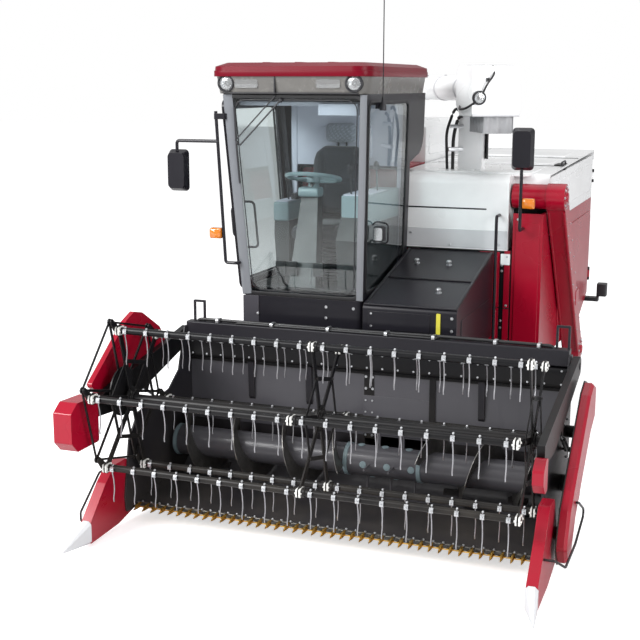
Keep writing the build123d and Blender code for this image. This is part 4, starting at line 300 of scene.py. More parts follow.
for finish, names in NODE_FINISH.items():
    for node_name in names.split():
        nodes[node_name].data.materials.clear()
        nodes[node_name].data.materials.append(finish)


# ---------------------------------------------------------------- surfaces
# A surface is its points, (n, 3) in millimetres, and a list of face arrays, one for each number of corners.
LEAN = np.array([0.31, 0.2, 0.93])      # a direction that no pipe runs along


def grid(points, ends=True):
    """Surface through a grid of points: each quad joins rows i, i + 1 and columns j, j + 1, the last column
    meets the first, and with ends one face closes each end row."""
    index = np.arange(points.shape[0] * points.shape[1]).reshape(points.shape[:2])
    after = np.roll(index, -1, axis=1)
    quads = np.stack([index[:-1], after[:-1], after[1:], index[1:]], axis=-1).reshape(-1, 4)
    return points.reshape(-1, 3), [quads, index[:1, ::-1], index[-1:]] if ends else [quads]


def joined(*surfaces):
    """One surface from several: each one's faces count on from the points before it."""
    starts = np.cumsum([0] + [len(points) for points, _ in surfaces])
    faces = [part + start for (_, parts), start in zip(surfaces, starts) for part in parts]
    return np.concatenate([points for points, _ in surfaces]), faces


def copies(surface, places):
    """The surface again at each place: place + point."""
    points, faces = surface
    places = np.asarray(places, float)
    start = np.arange(len(places))[:, None, None] * len(points)
    return (points + places[:, None]).reshape(-1, 3), [(f + start).reshape(-1, f.shape[1]) for f in faces]


def mirrored(surface):
    """The surface and its mirror image across X = 0, whose faces run the other way round."""
    points, faces = surface
    return joined(surface, (points * (-1, 1, 1), [f[:, ::-1] for f in faces]))


def rounded(corners, reach, steps, closed=True):
    """Each corner c becomes the curve (1-t)^2 a + 2t(1-t) c + t^2 b; a and b lie reach before and after c on
    its runs, at most 0.45 of a run away. An open line keeps its two ends."""
    corners = np.asarray(corners, float)
    t = np.linspace(0, 1, steps)[:, None]
    ends = []
    for shift in (1, -1):
        run = np.roll(corners, shift, axis=0) - corners
        length = np.linalg.norm(run, axis=1, keepdims=True)
        ends.append((corners + run * np.minimum(np.reshape(reach, (-1, 1)) / length, 0.45))[:, None])
    curve = (1 - t) ** 2 * ends[0] + 2 * t * (1 - t) * corners[:, None] + t ** 2 * ends[1]
    if closed:
        return curve.reshape(-1, corners.shape[1])
    return np.concatenate([corners[:1], curve[1:-1].reshape(-1, corners.shape[1]), corners[-1:]])


def ring(radius, sides):
    """Regular ring: radius (cos a, sin a), a going once round."""
    a = np.linspace(0, 2 * np.pi, sides, endpoint=False)
    return radius * np.stack([np.cos(a), np.sin(a)], axis=1)


def along_x(xs, y=0.0, z=0.0):
    """The places (x, y, z), one for each x."""
    return np.stack([xs, np.full(len(xs), y), np.full(len(xs), z)], axis=1)


def bolt_circle(radius, count):
    """The places (0, radius cos a, radius sin a) once round a circle about X."""
    return np.insert(ring(radius, count), 0, 0.0, axis=1)


def box_ring(wide, high, reach=0.0, steps=4):
    """Rectangle about its middle, its corners rounded by reach."""
    corners = np.array([(-wide, -high), (wide, -high), (wide, high), (-wide, high)]) / 2
    return rounded(corners, reach, steps) if reach else corners


def carried(path, profile, up=LEAN, scale=1.0, closed=False):
    """Profile carried along a path: point = path + scale (u side + v rise). side is the run crossed with up,
    rise is side crossed with the run, and the run at a point is the mean of the two beside it. A closed path
    comes back to its first point, where the doubles are merged."""
    path = np.asarray(path, float)
    if closed:
        path = np.concatenate([path, path[:1]])
    runs = np.diff(path, axis=0)
    runs /= np.linalg.norm(runs, axis=1, keepdims=True)
    first, last = (runs[:1] + runs[-1:],) * 2 if closed else (runs[:1], runs[-1:])
    run = np.concatenate([first, runs[:-1] + runs[1:], last])
    run /= np.linalg.norm(run, axis=1, keepdims=True)
    side = np.cross(run, up)
    side /= np.linalg.norm(side, axis=1, keepdims=True)
    rise = np.cross(side, run)
    scale = np.broadcast_to(scale, len(path))[:, None, None]
    u, v = profile[:, 0, None], profile[:, 1, None]
    return grid(path[:, None] + scale * (u * side[:, None] + v * rise[:, None]), ends=not closed)


def pipe(corners, radius, reach=30.0):
    """Bent pipe: a ring carried along a line whose corners are rounded."""
    return carried(rounded(corners, reach, 6, closed=False), ring(radius, 10))


def strip(path, wide, high, reach=0.0, **run):
    """Flat bar carried along a path."""
    return carried(path, box_ring(wide, high, reach, 3), **run)


def prism(outline, axis, low, high):
    """Outline pushed along an axis from low to high: (Y, Z) along X, (X, Z) along Y, (X, Y) along Z."""
    outline = np.asarray(outline, float)
    points = np.empty((2, len(outline), 3))
    points[:, :, axis] = np.array([low, high])[:, None]
    points[:, :, [k for k in range(3) if k != axis]] = outline
    return grid(points)


def slab(low, high, reach=0.0, axis=2, steps=4):
    """Block between two corners, its four edges along an axis rounded by reach."""
    low, high = np.asarray(low, float), np.asarray(high, float)
    others = [k for k in range(3) if k != axis]
    outline = box_ring(*(high - low)[others], reach, steps) + ((high + low) / 2)[others]
    return prism(outline, axis, low[axis], high[axis])


def turned(profile, centre, axis, steps=24):
    """Turned shape: profile rows are (radius, distance along axis); point = centre + distance axis + radius
    (cos a side + sin a rise)."""
    profile = np.asarray(profile, float)
    axis = np.asarray(axis, float) / np.linalg.norm(axis)
    side = np.cross(axis, LEAN)
    side /= np.linalg.norm(side)
    a = np.linspace(0, 2 * np.pi, steps, endpoint=False)[:, None]
    spokes = np.cos(a) * side + np.sin(a) * np.cross(axis, side)
    radius, distance = profile.T[:, :, None, None]
    return grid(np.asarray(centre, float) + distance * axis + radius * spokes)


def bolts(places, axis, across):
    """Flanged hexagon bolts: a washer of radius 0.72 across, and a chamfered head 0.6 across high."""
    washer = turned([(across * 0.72, -1), (across * 0.72, across * 0.14)], 0, axis, 10)
    head = turned(across * np.array([(0.56, 0), (0.56, 0.5), (0.46, 0.6)]), 0, axis, 6)
    return copies(joined(washer, head), places)


def placed(name, data):
    """A new object that holds the data, in the scene."""
    thing = bpy.data.objects.new(name, data)
    bpy.context.scene.collection.objects.link(thing)
    return thing


def make(name, surface, finish, body="chassis", bevel=0.0, smooth=35.0, stands_for=()):
    """Makes a surface, or a list of them, one piece: doubles merged, faces turned outwards, and edges sharper
    than smooth kept sharp."""
    points, faces = joined(*surface) if isinstance(surface, list) else surface
    mesh = bpy.data.meshes.new(name)
    mesh.from_pydata((points * MM).tolist(), [], [face for part in faces for face in part.tolist()])
    work = bmesh.new()
    work.from_mesh(mesh)
    bmesh.ops.remove_doubles(work, verts=work.verts, dist=2e-6)
    bmesh.ops.recalc_face_normals(work, faces=work.faces)
    work.to_mesh(mesh)
    work.free()
    mesh.shade_smooth()
    mesh.set_sharp_from_angle(angle=math.radians(smooth))
    mesh.materials.append(finish)
    piece = placed(name, mesh)
    if bevel:
        edge = piece.modifiers.new("rolled_edge", "BEVEL")
        edge.width, edge.segments = bevel * MM, 2
        edge.limit_method, edge.angle_limit = "ANGLE", math.radians(40)
    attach(piece, body)
    if stands_for:
        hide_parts(*stands_for)


# ---------------------------------------------------------------- reel
REEL = np.array([0, -2210, 790])
BAR_CIRCLE, BAR_R, BAR_LEAD, BARS = 455, 20, 16, 6      # the top bar leads upright by BAR_LEAD degrees
RING_SHIFT = np.array([0, -55, 58])
SPIDERS = np.array([-1186, 0, 1186])
TINES, TINE_PITCH = 18, 134
BRACE = 0.56      # radius of the bracing ring over that of the bar circle


def bar_place(k):
    """Middle of bar k: the reel's middle plus the bar circle at 90 + BAR_LEAD + k / BARS of a turn."""
    a = math.radians(90 + BAR_LEAD + 360 * k / BARS)
    return REEL + np.array([0, BAR_CIRCLE * math.cos(a), BAR_CIRCLE * math.sin(a)])


def link_ring(reach, first_r, second_r):
    """Outline of a link plate: a half ring round the first eye, and one round the second, reach away."""
    a = np.linspace(np.pi / 2, 3 * np.pi / 2, 9)
    half = np.stack([np.cos(a), np.sin(a)], axis=1)
    return np.concatenate([first_r * half, np.array([reach, 0]) - second_r * half])


# One tine, about the bar's middle: from its bolt over the bar, down its front face, then a slow double bend.
tine_line = [(0, -13, 22), (0, -23, 14), (0, -25, -2), (0, -20, -28), (0, -10, -62), (0, -5, -104),
             (0, -5, -134), (0, -12, -158), (0, -17, -178), (0, -14, -196)]
tine = carried(tine_line, ring(3.5, 6), up=X)
# Its clamp is a folded tab on the bar's front face, with a bolt through it and the wire's own bolt above.
tab = strip([(0, -21, -14), (0, -29, -10), (0, -29, 6), (0, -21, 13)], 7, 22, up=X)
tine_hold = joined(tab, turned([(6.5, 0), (6.5, 6), (4.5, 8)], (0, -32, -2), -Y, 6),
                   turned([(7, -2), (7, 5), (5, 7)], (0, -11, 21), (0, -0.5, 0.86), 6))
tine_x = (np.arange(TINES) - (TINES - 1) / 2) * TINE_PITCH
crank_turn = math.atan2(RING_SHIFT[2], RING_SHIFT[1])
crank = link_ring(np.linalg.norm(RING_SHIFT), 26, 18) @ np.array([
    (math.cos(crank_turn), math.sin(crank_turn)), (-math.sin(crank_turn), math.cos(crank_turn))])
collar = turned([(BAR_R - 1, -10), (28, -8), (28, 8), (BAR_R - 1, 10)], 0, X)
for k in range(BARS):
    middle = bar_place(k)
    body = "tine_bar_%d" % (k + 1)
    make("reel_bar_%d" % (k + 1), [
        turned([(18, -1207), (BAR_R, -1205), (BAR_R, 1198), (18, 1200)], middle, X),
        prism(crank + middle[1:], 0, -1207, -1201),
        turned([(8, -1228), (9, -1226), (9, -1200)], middle + RING_SHIFT, X, 16),
        copies(collar, middle + along_x((-24, 24))),
    ], black, body, stands_for=(body,))
    places = middle + along_x(tine_x)
    make("tines_%d" % (k + 1), copies(tine, places), tine_wire, body)
    make("tine_clamps_%d" % (k + 1), copies(tine_hold, places), bright_zinc, body)

# Split nylon bushings that each bar turns in, bolted to the spiders' tips.
bars = np.array([bar_place(k) for k in range(BARS)])
bush_places = (bars + along_x(SPIDERS)[:, None]).reshape(-1, 3)
half_bush = slab((4.5, -34, -24), (13, 34, 24), 10, 0)
make("bar_bushings", copies(mirrored(joined(half_bush, bolts([(13, -27, 0), (13, 27, 0)], X, 11))),
                            bush_places), nylon, "reel")
# Hub plates with their ring of bolts, and a ring of flat bar that braces the spokes.
hub = joined(turned([(32, 4), (70, 5), (70, 9), (46, 10), (44, 20), (32, 22)], 0, X, 32),
             bolts(bolt_circle(54, 6) + (9, 0, 0), X, 12))
brace = (bars - REEL) * BRACE + (6, 0, 0)
brace_ring = joined(*[
    strip([brace[k - 1], brace[k]], 24, 4, up=X) for k in range(BARS)
], bolts(brace + (2, 0, 0), X, 12))
make("reel_hubs", copies(joined(mirrored(hub), brace_ring), REEL + along_x(SPIDERS)),
     black, "reel", smooth=30)
# A bright head on each crank's pin, outside the guide ring.
pin_head = turned([(13, 0), (13, 3), (9, 7)], 0, -X, 14)
make("ring_pins", copies(pin_head, bars + RING_SHIFT + (-1225, 0, 0)), bright_zinc, "guide_ring")

# ---------------------------------------------------------------- header
GUARD_PITCH, GUARDS = 57.5, 43
AUGER = np.array([0, -1545, 350])
SHEET_Y = -1319
guard_x = (np.arange(GUARDS) - (GUARDS - 1) / 2) * GUARD_PITCH


def sections(*rows):
    """Loft through rounded boxes: rows are (y, z, width, height, corner reach), and neighbours are joined."""
    return grid(np.stack([
        np.insert(box_ring(wide, high, reach, 3) + (0, z), 1, y, axis=1)
        for y, z, wide, high, reach in rows]))


# A guard is a wide foot, a waist and a long drooping point, under the lip that the knife slides in.
guard = joined(
    sections((-2092, 93, 40, 20, 4), (-2114, 93, 32, 20, 4), (-2130, 92, 18, 20, 5), (-2170, 90, 15, 16, 4),
             (-2204, 87, 3, 4, 1)),
    sections((-2108, 105, 12, 5, 1), (-2150, 107, 14, 6, 2), (-2182, 98, 6, 5, 1)),
)
make("knife_guards", [copies(guard, along_x(guard_x)), slab((-1239, -2131, 82), (1239, -2096, 90))],
     gold_zinc, "header", stands_for=("cutterbar",))
blade = prism([(27.5, -2104), (27.5, -2112), (7, -2158), (-7, -2158), (-27.5, -2112), (-27.5, -2104)], 2, 100,
              103)
make("knife_sections", [
    copies(blade, along_x(guard_x[:-1] + GUARD_PITCH / 2)), slab((-1236, -2104, 99), (1236, -2090, 105)),
], knife_steel, "header")
make("guard_bolts", bolts(along_x(guard_x, -2084, 104), Z, 11), bright_zinc, "header")


PITCH, STEPS_PER_TURN, BARREL_R, FLIGHT_R, FLIGHT_THICK = 330, 28, 93, 205, 4


def flight(start, end):
    """Screw flight: at turn a, x = start + (end - start) a / last a, and the ring of four corners
    (radius, shift) stands at radius (cos a, sin a) about the auger's axis."""
    turns = abs(end - start) / PITCH
    a = np.linspace(0, 2 * np.pi * turns, int(STEPS_PER_TURN * turns))[:, None]
    radius = np.array([BARREL_R, FLIGHT_R, FLIGHT_R, BARREL_R])
    x = start + (end - start) * a / a[-1] + np.array([-0.5, -0.5, 0.5, 0.5]) * FLIGHT_THICK
    return grid(np.stack([x, radius * np.cos(a), radius * np.sin(a)], axis=2) + AUGER)


make("auger_flights", [flight(-1226, -60), flight(1226, 420)],
     bare_steel, "platform_auger", smooth=50)
# Bushes of the 11 feed fingers, each a quarter turn on from the last.
finger_turn = np.pi / 2 * np.arange(11)
drum_face = np.stack([38 * np.arange(11) - 10, 94 * np.cos(finger_turn), 94 * np.sin(finger_turn)], axis=1)
bush = joined(*[turned([(9, -2), (22, -2), (22, 4), (13, 6)], AUGER + place, place * (0, 1, 1), 12)
                for place in drum_face])
collar = turned([(94, -14), (101, -12), (101, 12), (94, 14)], 0, X, 32)
make("auger_collars", [copies(collar, AUGER + along_x((-1210, -52, 412, 1210))), bush],
     grey_abs, "platform_auger")

# Folded channel over the top of the back sheet, with its rivets.
channel = np.array([(0, 1004), (-26, 1000), (-50, 984), (-54, 960), (-54, 884), (-46, 862),
                    (0, 850)]) + (SHEET_Y, 0)
make("upper_channel", prism(rounded(channel, 8, 3), 0, -1236, 1236), black, "header")
make("channel_rivets", [
    bolts(along_x(np.linspace(-1200, 1200, 25), SHEET_Y - 54.5, z), -Y, 9) for z in (972, 890)
], bright_zinc, "header")
# Joints of the back sheet: a lapped one in its middle, a dark stiffener, and two ribs across it.
make("sheet_joints", [
    slab((-34, SHEET_Y - 3, 420), (34, SHEET_Y + 1, 852), 1, 1),
    slab((392, SHEET_Y - 12, 420), (430, SHEET_Y + 1, 852)),
    slab((-1239, SHEET_Y - 6, 836), (1239, SHEET_Y + 1, 852)),
    slab((-1239, SHEET_Y - 4, 560), (1239, SHEET_Y + 1, 572)),
], black, "header")
make("sheet_bolts", bolts([(x, SHEET_Y - 3, z) for x in (-22, 22) for z in np.linspace(440, 820, 6)],
                          -Y, 12), bright_zinc, "header")
# Hydraulic pipe and wiring conduit clipped along the top beam.
make("beam_conduit", [
    pipe([(-1180, -1341, 1015), (-1180, -1341, 1112), (-60, -1341, 1112), (480, -1335, 1116),
          (1150, -1341, 1112), (1150, -1341, 1015)], 11, 40),
    pipe([(-900, -1365, 1012), (-900, -1365, 1108), (420, -1365, 1108), (450, -1330, 1108),
          (450, -1312, 1012)], 8, 30),
], soft_pvc, "header")
clip = slab((-9, -1386, 1098), (9, -1322, 1128), 12, 0)
make("beam_clips", copies(clip, along_x((-1020, -640, -260, 120, 420, 800, 1060))), bright_zinc, "header")
# Bolts along the end plates' edges.
plate_bolts = [(-1420, 940), (-1420, 700), (-1420, 470), (-1560, 190), (-1760, 150), (-1960, 130),
               (-1980, 320)]
make("end_plate_bolts", mirrored(bolts([(-1251, y, z) for y, z in plate_bolts], -X, 15)), bright_zinc,
     "header")

# Faces that straw has worn, their lighter grey partly that wear and partly painted sheen: the back sheet
# under the channel, and the floor's curve round the auger.
make("worn_sheen_sheet", slab((-1238, SHEET_Y - 2, 440), (1238, SHEET_Y - 0.5, 848), 4, 1),
     straw_worn_sheen, "header")
arc = np.radians(np.linspace(-96, -4, 25))
round_auger = np.stack([np.cos(arc), np.sin(arc)], axis=1)
make("worn_sheen_trough", prism(AUGER[1:] + np.concatenate([224.5 * round_auger, 225.8 * round_auger[::-1]]),
                              0, -1238, 1238), straw_worn_sheen, "header")


# ---------------------------------------------------------------- cab
CAB_LOW, CAB_TOP = 1270, 2560


def leaning(at_low, at_top):
    """A wall's place at height z: at_low + (at_top - at_low)(z - CAB_LOW) / (CAB_TOP - CAB_LOW)."""
    return lambda z: at_low + (at_top - at_low) * (z - CAB_LOW) / (CAB_TOP - CAB_LOW)


# X of the right wall and of the left wall, and Y of the windscreen.
cab_right, cab_left, cab_front = leaning(-912, -1018), leaning(-90, -60), leaning(-1200, -1240)


def frame_of(low, high, right, left, reach):
    """Rounded outline of a pane in the windscreen's plane: right and left give X at a height."""
    sides = ((right, low), (left, low), (left, high), (right, high))
    return rounded([(side(z), cab_front(z), z) for side, z in sides], reach, 7)


def wall_frame(wall, low, high, front_gap, rear, reach):
    """Rounded outline of a pane in a side wall, from front_gap behind the windscreen to rear."""
    return rounded([(wall(low), cab_front(low) + front_gap, low), (wall(low), rear, low),
                    (wall(high), rear, high), (wall(high), cab_front(high) + front_gap, high)], reach, 7)


seal_ring = box_ring(24, 9, 4, 3)
make("windscreen_seal", carried(
    frame_of(1284, 2544, lambda z: cab_right(z) + 16, lambda z: cab_left(z) - 16, 70),
    seal_ring, up=(0, 1, 0.03), closed=True), soft_pvc)
make("windscreen_trim", strip(frame_of(1306, 2522, lambda z: cab_right(z) + 74, lambda z: cab_left(z) - 60,
                                       75) - (0, 1.5, 0), 7, 4, 1.5, up=(0, 1, 0.03), closed=True),
     grained_abs)
make("left_pane_seal", carried(
    wall_frame(lambda z: cab_left(z) + 1, 1315, 2505, 48, -320, 50), seal_ring, up=(1, 0, 0.03), closed=True),
    soft_pvc)
make("door_seal", strip(wall_frame(lambda z: cab_right(z) - 37, 1351, 2469, 84, -356, 50), 18, 8, 3,
                        up=(1, 0, 0.08), closed=True), soft_pvc, "cab_door")
make("rear_window_seal", carried(rounded(
    [(-880, -230, 1700), (-150, -230, 1700), (-150, -230, 2050), (-880, -230, 2050)], 50, 7), seal_ring,
    up=Y, closed=True), soft_pvc)


def post_strip(wall, wide, way):
    """Bonded moulding down one windscreen post: a shallow crowned strip that leans with the post."""
    z = np.array([1276, 1300, 1700, 2100, 2530, 2556])
    path = np.stack([wall(z) + way * wide / 2, cab_front(z) - 3, z], axis=1)
    crown = np.array([(4, -0.5), (-1, -0.5), (-4, -0.36), (-5.5, 0), (-4, 0.36), (-1, 0.5), (4, 0.5)])
    return carried(path, crown * (1, wide), up=X)


make("windscreen_posts", [
    post_strip(lambda z: cab_right(z) - 2, 64, 1), post_strip(lambda z: cab_left(z) + 2, 44, -1),
], post_grey, smooth=50)

# Wiper: a box for its motor under the roof, two thin arms, and a blade on the glass.
wiper_top, wiper_foot = np.array([-640, -1247, 2536]), np.array([-922, -1243, 2252])
blade_line = np.array([(-938, -1247, 2476), (-930, -1240, 2252), (-912, -1231, 1996)])
across_arm = np.array([16, 0, -15])
make("wiper_arms", [
    *[strip([wiper_top + aside, wiper_foot + aside], wide, wide + 2, 2)
      for aside, wide in ((across_arm, 7), (-across_arm, 6))],
    strip(blade_line - (0, 6, 0), 8, 10, 2),
    turned([(15, 0), (15, 10), (9, 18)], wiper_top + across_arm + (0, 4, 0), -Y),
    turned([(12, 0), (12, 9), (7, 14)], wiper_foot + (0, 4, 0), -Y),
], grained_abs)
make("wiper_blade", strip(blade_line, 4, 11, 1, up=X), soft_pvc)

# Lamps in the roof band: bezel, bright bowl, bulb and ribbed lens.
lamp_places = [(-985, -1232, 2625), (-135, -1232, 2625)]
bezel = turned([(44, 2), (53, 2), (56, 32), (56, 44), (50, 47), (43, 40), (43, 8)], 0, -Y, 40)
bowl = turned([(6, 3), (18, 6), (30, 12), (38, 22), (43, 36), (44.5, 36), (40, 20), (31, 9), (18, 3), (6, 0)],
              0, -Y, 40)
bulb = turned([(5, 4), (7, 8), (7, 20), (4, 25), (1, 27)], 0, -Y, 20)
cover_glass = turned([(1, 46), (15, 45.5), (30, 43), (42, 38), (42, 35), (30, 40), (15, 42.5), (1, 43)],
                     0, -Y, 40)
make("lamp_bezels", copies(bezel, lamp_places), grained_abs, stands_for=("lamps",))
make("lamp_bowls", copies(joined(bowl, bulb), lamp_places), chrome, smooth=60)
make("lamp_lenses", copies(cover_glass, lamp_places), clear_lens, smooth=60)
# Long marker lamps in the same band, and the joint of its two mouldings.
marker = slab((-78, -3, -26), (78, 3, 26), 14, 1)
make("marker_lenses", copies(marker, [(-845, -1273, 2622), (-300, -1273, 2622)]), clear_lens)
make("band_joint", [
    slab((-654, -1284, 2566), (-648, -1252, 2680)), slab((-1010, -1272, 2561), (-110, -1250, 2569)),
], grained_abs)

# Direction lamps on the mirror stays, rear lamps, and the lamp on the left of the cab.
indicators = [(-1077.8, -1250, 1670), (779.3, -330, 1842)]
make("indicator_bodies", copies(slab((-41, -2, -34), (41, 21, 34), 12, 1), indicators), grained_abs)
indicator_lens = grid(np.stack([np.insert(box_ring(wide, high, 12, 5), 1, y, axis=1)
                                for y, wide, high in ((1, 84, 70), (-15, 80, 66), (-22, 68, 54))]))
make("indicator_lenses", copies(indicator_lens, indicators), amber_lens, smooth=60)
make("rear_lamp_bodies", [
    slab((934, 2267, 791), (1016, 2384, 899), 12), slab((-941, 2073, 701), (-859, 2118, 809), 12),
    slab((800, 2202, 756), (958, 2289, 789), 6),
], grained_abs)
make("rear_lamp_lenses", [
    slab((939, 2384, 843), (1011, 2393, 893), 8, 1), slab((-936, 2118, 757), (-864, 2127, 803), 8, 1),
], red_lens)
make("turn_lamp_lenses", [
    slab((939, 2384, 798), (1011, 2393, 838), 8, 1), slab((-936, 2118, 708), (-864, 2127, 752), 8, 1),
], amber_lens)
make("side_lamp_body", [
    slab((-62, -1085, 1640), (8, -1040, 1740), 18, 1, 5),
    pipe([(-88, -1030, 1650), (-60, -1030, 1620), (22, -1030, 1630), (22, -1030, 1752), (-60, -1030, 1766),
          (-84, -1030, 1740)], 6, 26),
], grained_abs)
make("side_lamp_lens", slab((-55, -1094, 1648), (1, -1084, 1732), 16, 1, 5), clear_lens)
make("side_lamp_reflector", slab((-53, -1086, 1650), (-1, -1083, 1730), 15, 1, 5), chrome)

# Mirror glass on the rear faces of the mirrors.
make("mirror_glass", [
    slab((-1409, -1229, 1945), (-1287, -1226, 2191), 22, 1),
    slab((662, -306, 2072), (790, -303, 2328), 22, 1),
], chrome)

# Door: pull handle outside, bent grab loop inside, lock, and the step treads below.
make("door_handles", [
    pipe([(cab_right(z) + out, -1104, z) for z, out in ((1820, -34), (1820, -74), (1640, -74), (1640, -34))],
         9, 24),
    pipe([(cab_right(z) + out, -1040, z) for z, out in ((1860, -8), (1860, 62), (1560, 66), (1560, -8))], 8,
         30), slab((-984, -1122, 1716), (-974, -1062, 1764), 6, 0),
], grained_abs, "cab_door")
make("step_treads", [
    slab((-1046, y - 5, z), (-964, y + 5, z + 6)) for y in np.linspace(-960, -660, 13) for z in (380, 556)
], bare_steel)

# Inside: rear trim, headliner with its air duct, floor mat, pedals, levers and the pod under the wheel.
make("cab_trim", [
    slab((-930, -296, 1320), (-884, -274, 2480), 8), slab((-150, -296, 1320), (-112, -274, 2480), 8),
    slab((-884, -296, 1320), (-150, -274, 1690), 8), slab((-884, -296, 2062), (-150, -274, 2480), 8),
    slab((-700, -330, 2110), (-330, -290, 2330), 20, 1),
    slab((-960, -1150, 2486), (-116, -300, 2512), 30), slab((-400, -1190, 2430), (-130, -1010, 2500), 20),
], trim_felt, bevel=6)
make("floor_mat", slab((-880, -1140, 1312), (-140, -320, 1320), 40), track_rubber)
make("pedals", [
    joined(slab((x - 34, -1120, 1400), (x + 34, -1106, 1490), 8, 1),
           strip([(x, -1104, 1440), (x, -1060, 1330), (x, -1010, 1316)], 16, 8))
    for x in (-680, -600, -420)
], track_rubber)
lever = joined(
    carried([(0, 0, 0), (0, -8, 60), (0, -26, 150)], ring(6, 10)),
    turned([(5, -6), (15, 2), (19, 24), (16, 46), (6, 56)], (0, -26, 150), (0, -0.15, 1), 16),
)
make("levers", copies(lever, [(-250, -960, 1916), (-180, -880, 1916), (-235, -760, 1916), (-180, -640, 1916),
                         (-845, -560, 1826)]), grained_abs)
make("console_cap", [
    slab((-303, -1016, 1724), (-132, -296, 1919), 18), slab((-903, -704, 1700), (-787, -326, 1829), 16),
], grey_abs, bevel=10)
make("console_panels", [
    slab((-292, -1010, 1918), (-143, -560, 1926), 16), slab((-892, -690, 1828), (-798, -340, 1836), 16),
], trim_felt)
make("wheel_pod", [
    slab((-600, -1015, 1900), (-462, -900, 1962), 24, 0),
    carried([(-531, -905, 1945), (-531, -898, 1990), (-531, -894, 2010)], ring(34, 16), up=X,
            scale=[1.25, 0.95, 0.8]),
], grey_abs, bevel=8)
make("wheel_pod_screen", slab((-584, -902, 1912), (-478, -896, 1952), 6, 1), window_glass)

# Plinth: the lighter corner plate, which is painted light, and its screws.
make("plinth_corner", slab((-911, -1204, 1004), (-802, -1199, 1266), 6, 1), lit_corner_grey)
make("plinth_screws", bolts([(-809, -1205, 1150), (-335, -1200, 1150), (-335, -1200, 1222),
                             (-150, -1200, 1222), (-150, -1200, 1050), (-860, -1205, 1030),
                             (-560, -1200, 1030)], -Y, 14), bright_zinc)

# Roof: three pressed ribs, and the aerial's foot.
# The ribs take the roof's darker red, which is painted shade.
make("roof_ribs", [slab((x - 22, -1120, 2748), (x + 22, -40, 2756), 12) for x in (-780, -560, -340)],
     shaded_roof_red, bevel=3)
make("aerial_foot", turned([(22, -30), (22, 0), (13, 14), (8, 46), (4, 60)], (-14, -1060, 2490), Z, 20),
     grained_abs)

# ---------------------------------------------------------------- seat
VOXEL, SEAM_WIDTH, SEAM_DEPTH, FILL_LIMIT = 0.009, 0.008, 0.011, 0.009      # in metres
FILL_FRAMES, FILL_PRESSURE = 15, 4.0


def corners_of(mesh):
    """The mesh's points, (n, 3) in metres."""
    flat = np.empty(len(mesh.vertices) * 3)
    mesh.vertices.foreach_get("co", flat)
    return flat.reshape(-1, 3)


def as_shown(piece):
    """A new mesh of the piece with its modifiers applied."""
    return bpy.data.meshes.new_from_object(piece.evaluated_get(bpy.context.evaluated_depsgraph_get()))


def swell(name, low, high, corner, crown, rise, finish, seams=(), dome=0.0):
    """Seat pad: a block with rounded edges, its shoulders drawn in by x (1 - dome w^4) above its middle,
    crowned by crown (1 - u^4)(1 - v^4) on the face towards rise, filled by cloth pressure that moves no point
    over FILL_LIMIT, and pressed in by SEAM_DEPTH exp(-(d / SEAM_WIDTH)^2) at distance d from each seam."""
    low, high = np.array(low, float), np.array(high, float)
    mesh = bpy.data.meshes.new(name)
    work = bmesh.new()
    bmesh.ops.create_cube(work, size=1.0)
    bmesh.ops.subdivide_edges(work, edges=work.edges, cuts=9, use_grid_fill=True)
    work.to_mesh(mesh)
    work.free()
    unit = corners_of(mesh) * 2
    half = (high - low) / 2
    core = np.clip(unit * half, -(half - corner), half - corner)
    away = unit * half - core
    away *= corner / np.maximum(np.linalg.norm(away, axis=1, keepdims=True), corner)
    flat_axis = int(np.argmin(half))
    others = [k for k in range(3) if k != flat_axis]
    lift = np.prod(1 - unit[:, others] ** 4, axis=1)
    points = core + away
    points[:, 0] *= 1 - dome * np.clip(unit[:, 2], 0, 1) ** 4
    points[:, flat_axis] += crown * lift * np.sign(rise) * (np.sign(rise) * unit[:, flat_axis] > 0)
    mesh.vertices.foreach_set("co", ((points + (high + low) / 2) * MM).ravel())
    piece = placed(name, mesh)
    remesh = piece.modifiers.new("remesh", "REMESH")
    remesh.mode, remesh.voxel_size = "VOXEL", VOXEL
    mesh = as_shown(piece)
    piece.modifiers.clear()
    piece.data = mesh
    cloth = piece.modifiers.new("cloth", "CLOTH")
    cloth.settings.use_pressure, cloth.settings.uniform_pressure_force = True, FILL_PRESSURE
    cloth.settings.effector_weights.gravity = 0.0
    for step in range(1, FILL_FRAMES + 1):
        bpy.context.scene.frame_set(step)
    shaped = as_shown(piece)
    bpy.context.scene.frame_set(1)
    move = corners_of(shaped) - corners_of(mesh)
    length = np.linalg.norm(move, axis=1, keepdims=True)
    points = corners_of(mesh) + move * np.minimum(1.0, FILL_LIMIT / np.maximum(length, 1e-9))
    piece.modifiers.clear()
    piece.data = shaped
    shaped.vertices.foreach_set("co", points.ravel())
    shaped = piece.data
    points = corners_of(shaped)
    facing = np.sign(rise) * (points[:, flat_axis] - (high + low)[flat_axis] / 2 * MM) > 0
    for axis, place in seams:
        press = np.exp(-((points[:, axis] - place * MM) / SEAM_WIDTH) ** 2)
        points[:, flat_axis] -= np.sign(rise) * SEAM_DEPTH * press * facing
    shaped.vertices.foreach_set("co", points.ravel())
    shaped.shade_smooth()
    shaped.materials.clear()
    shaped.materials.append(finish)
    rounder = piece.modifiers.new("smooth", "SUBSURF")
    rounder.levels = rounder.render_levels = 1
    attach(piece, "chassis")
    return piece


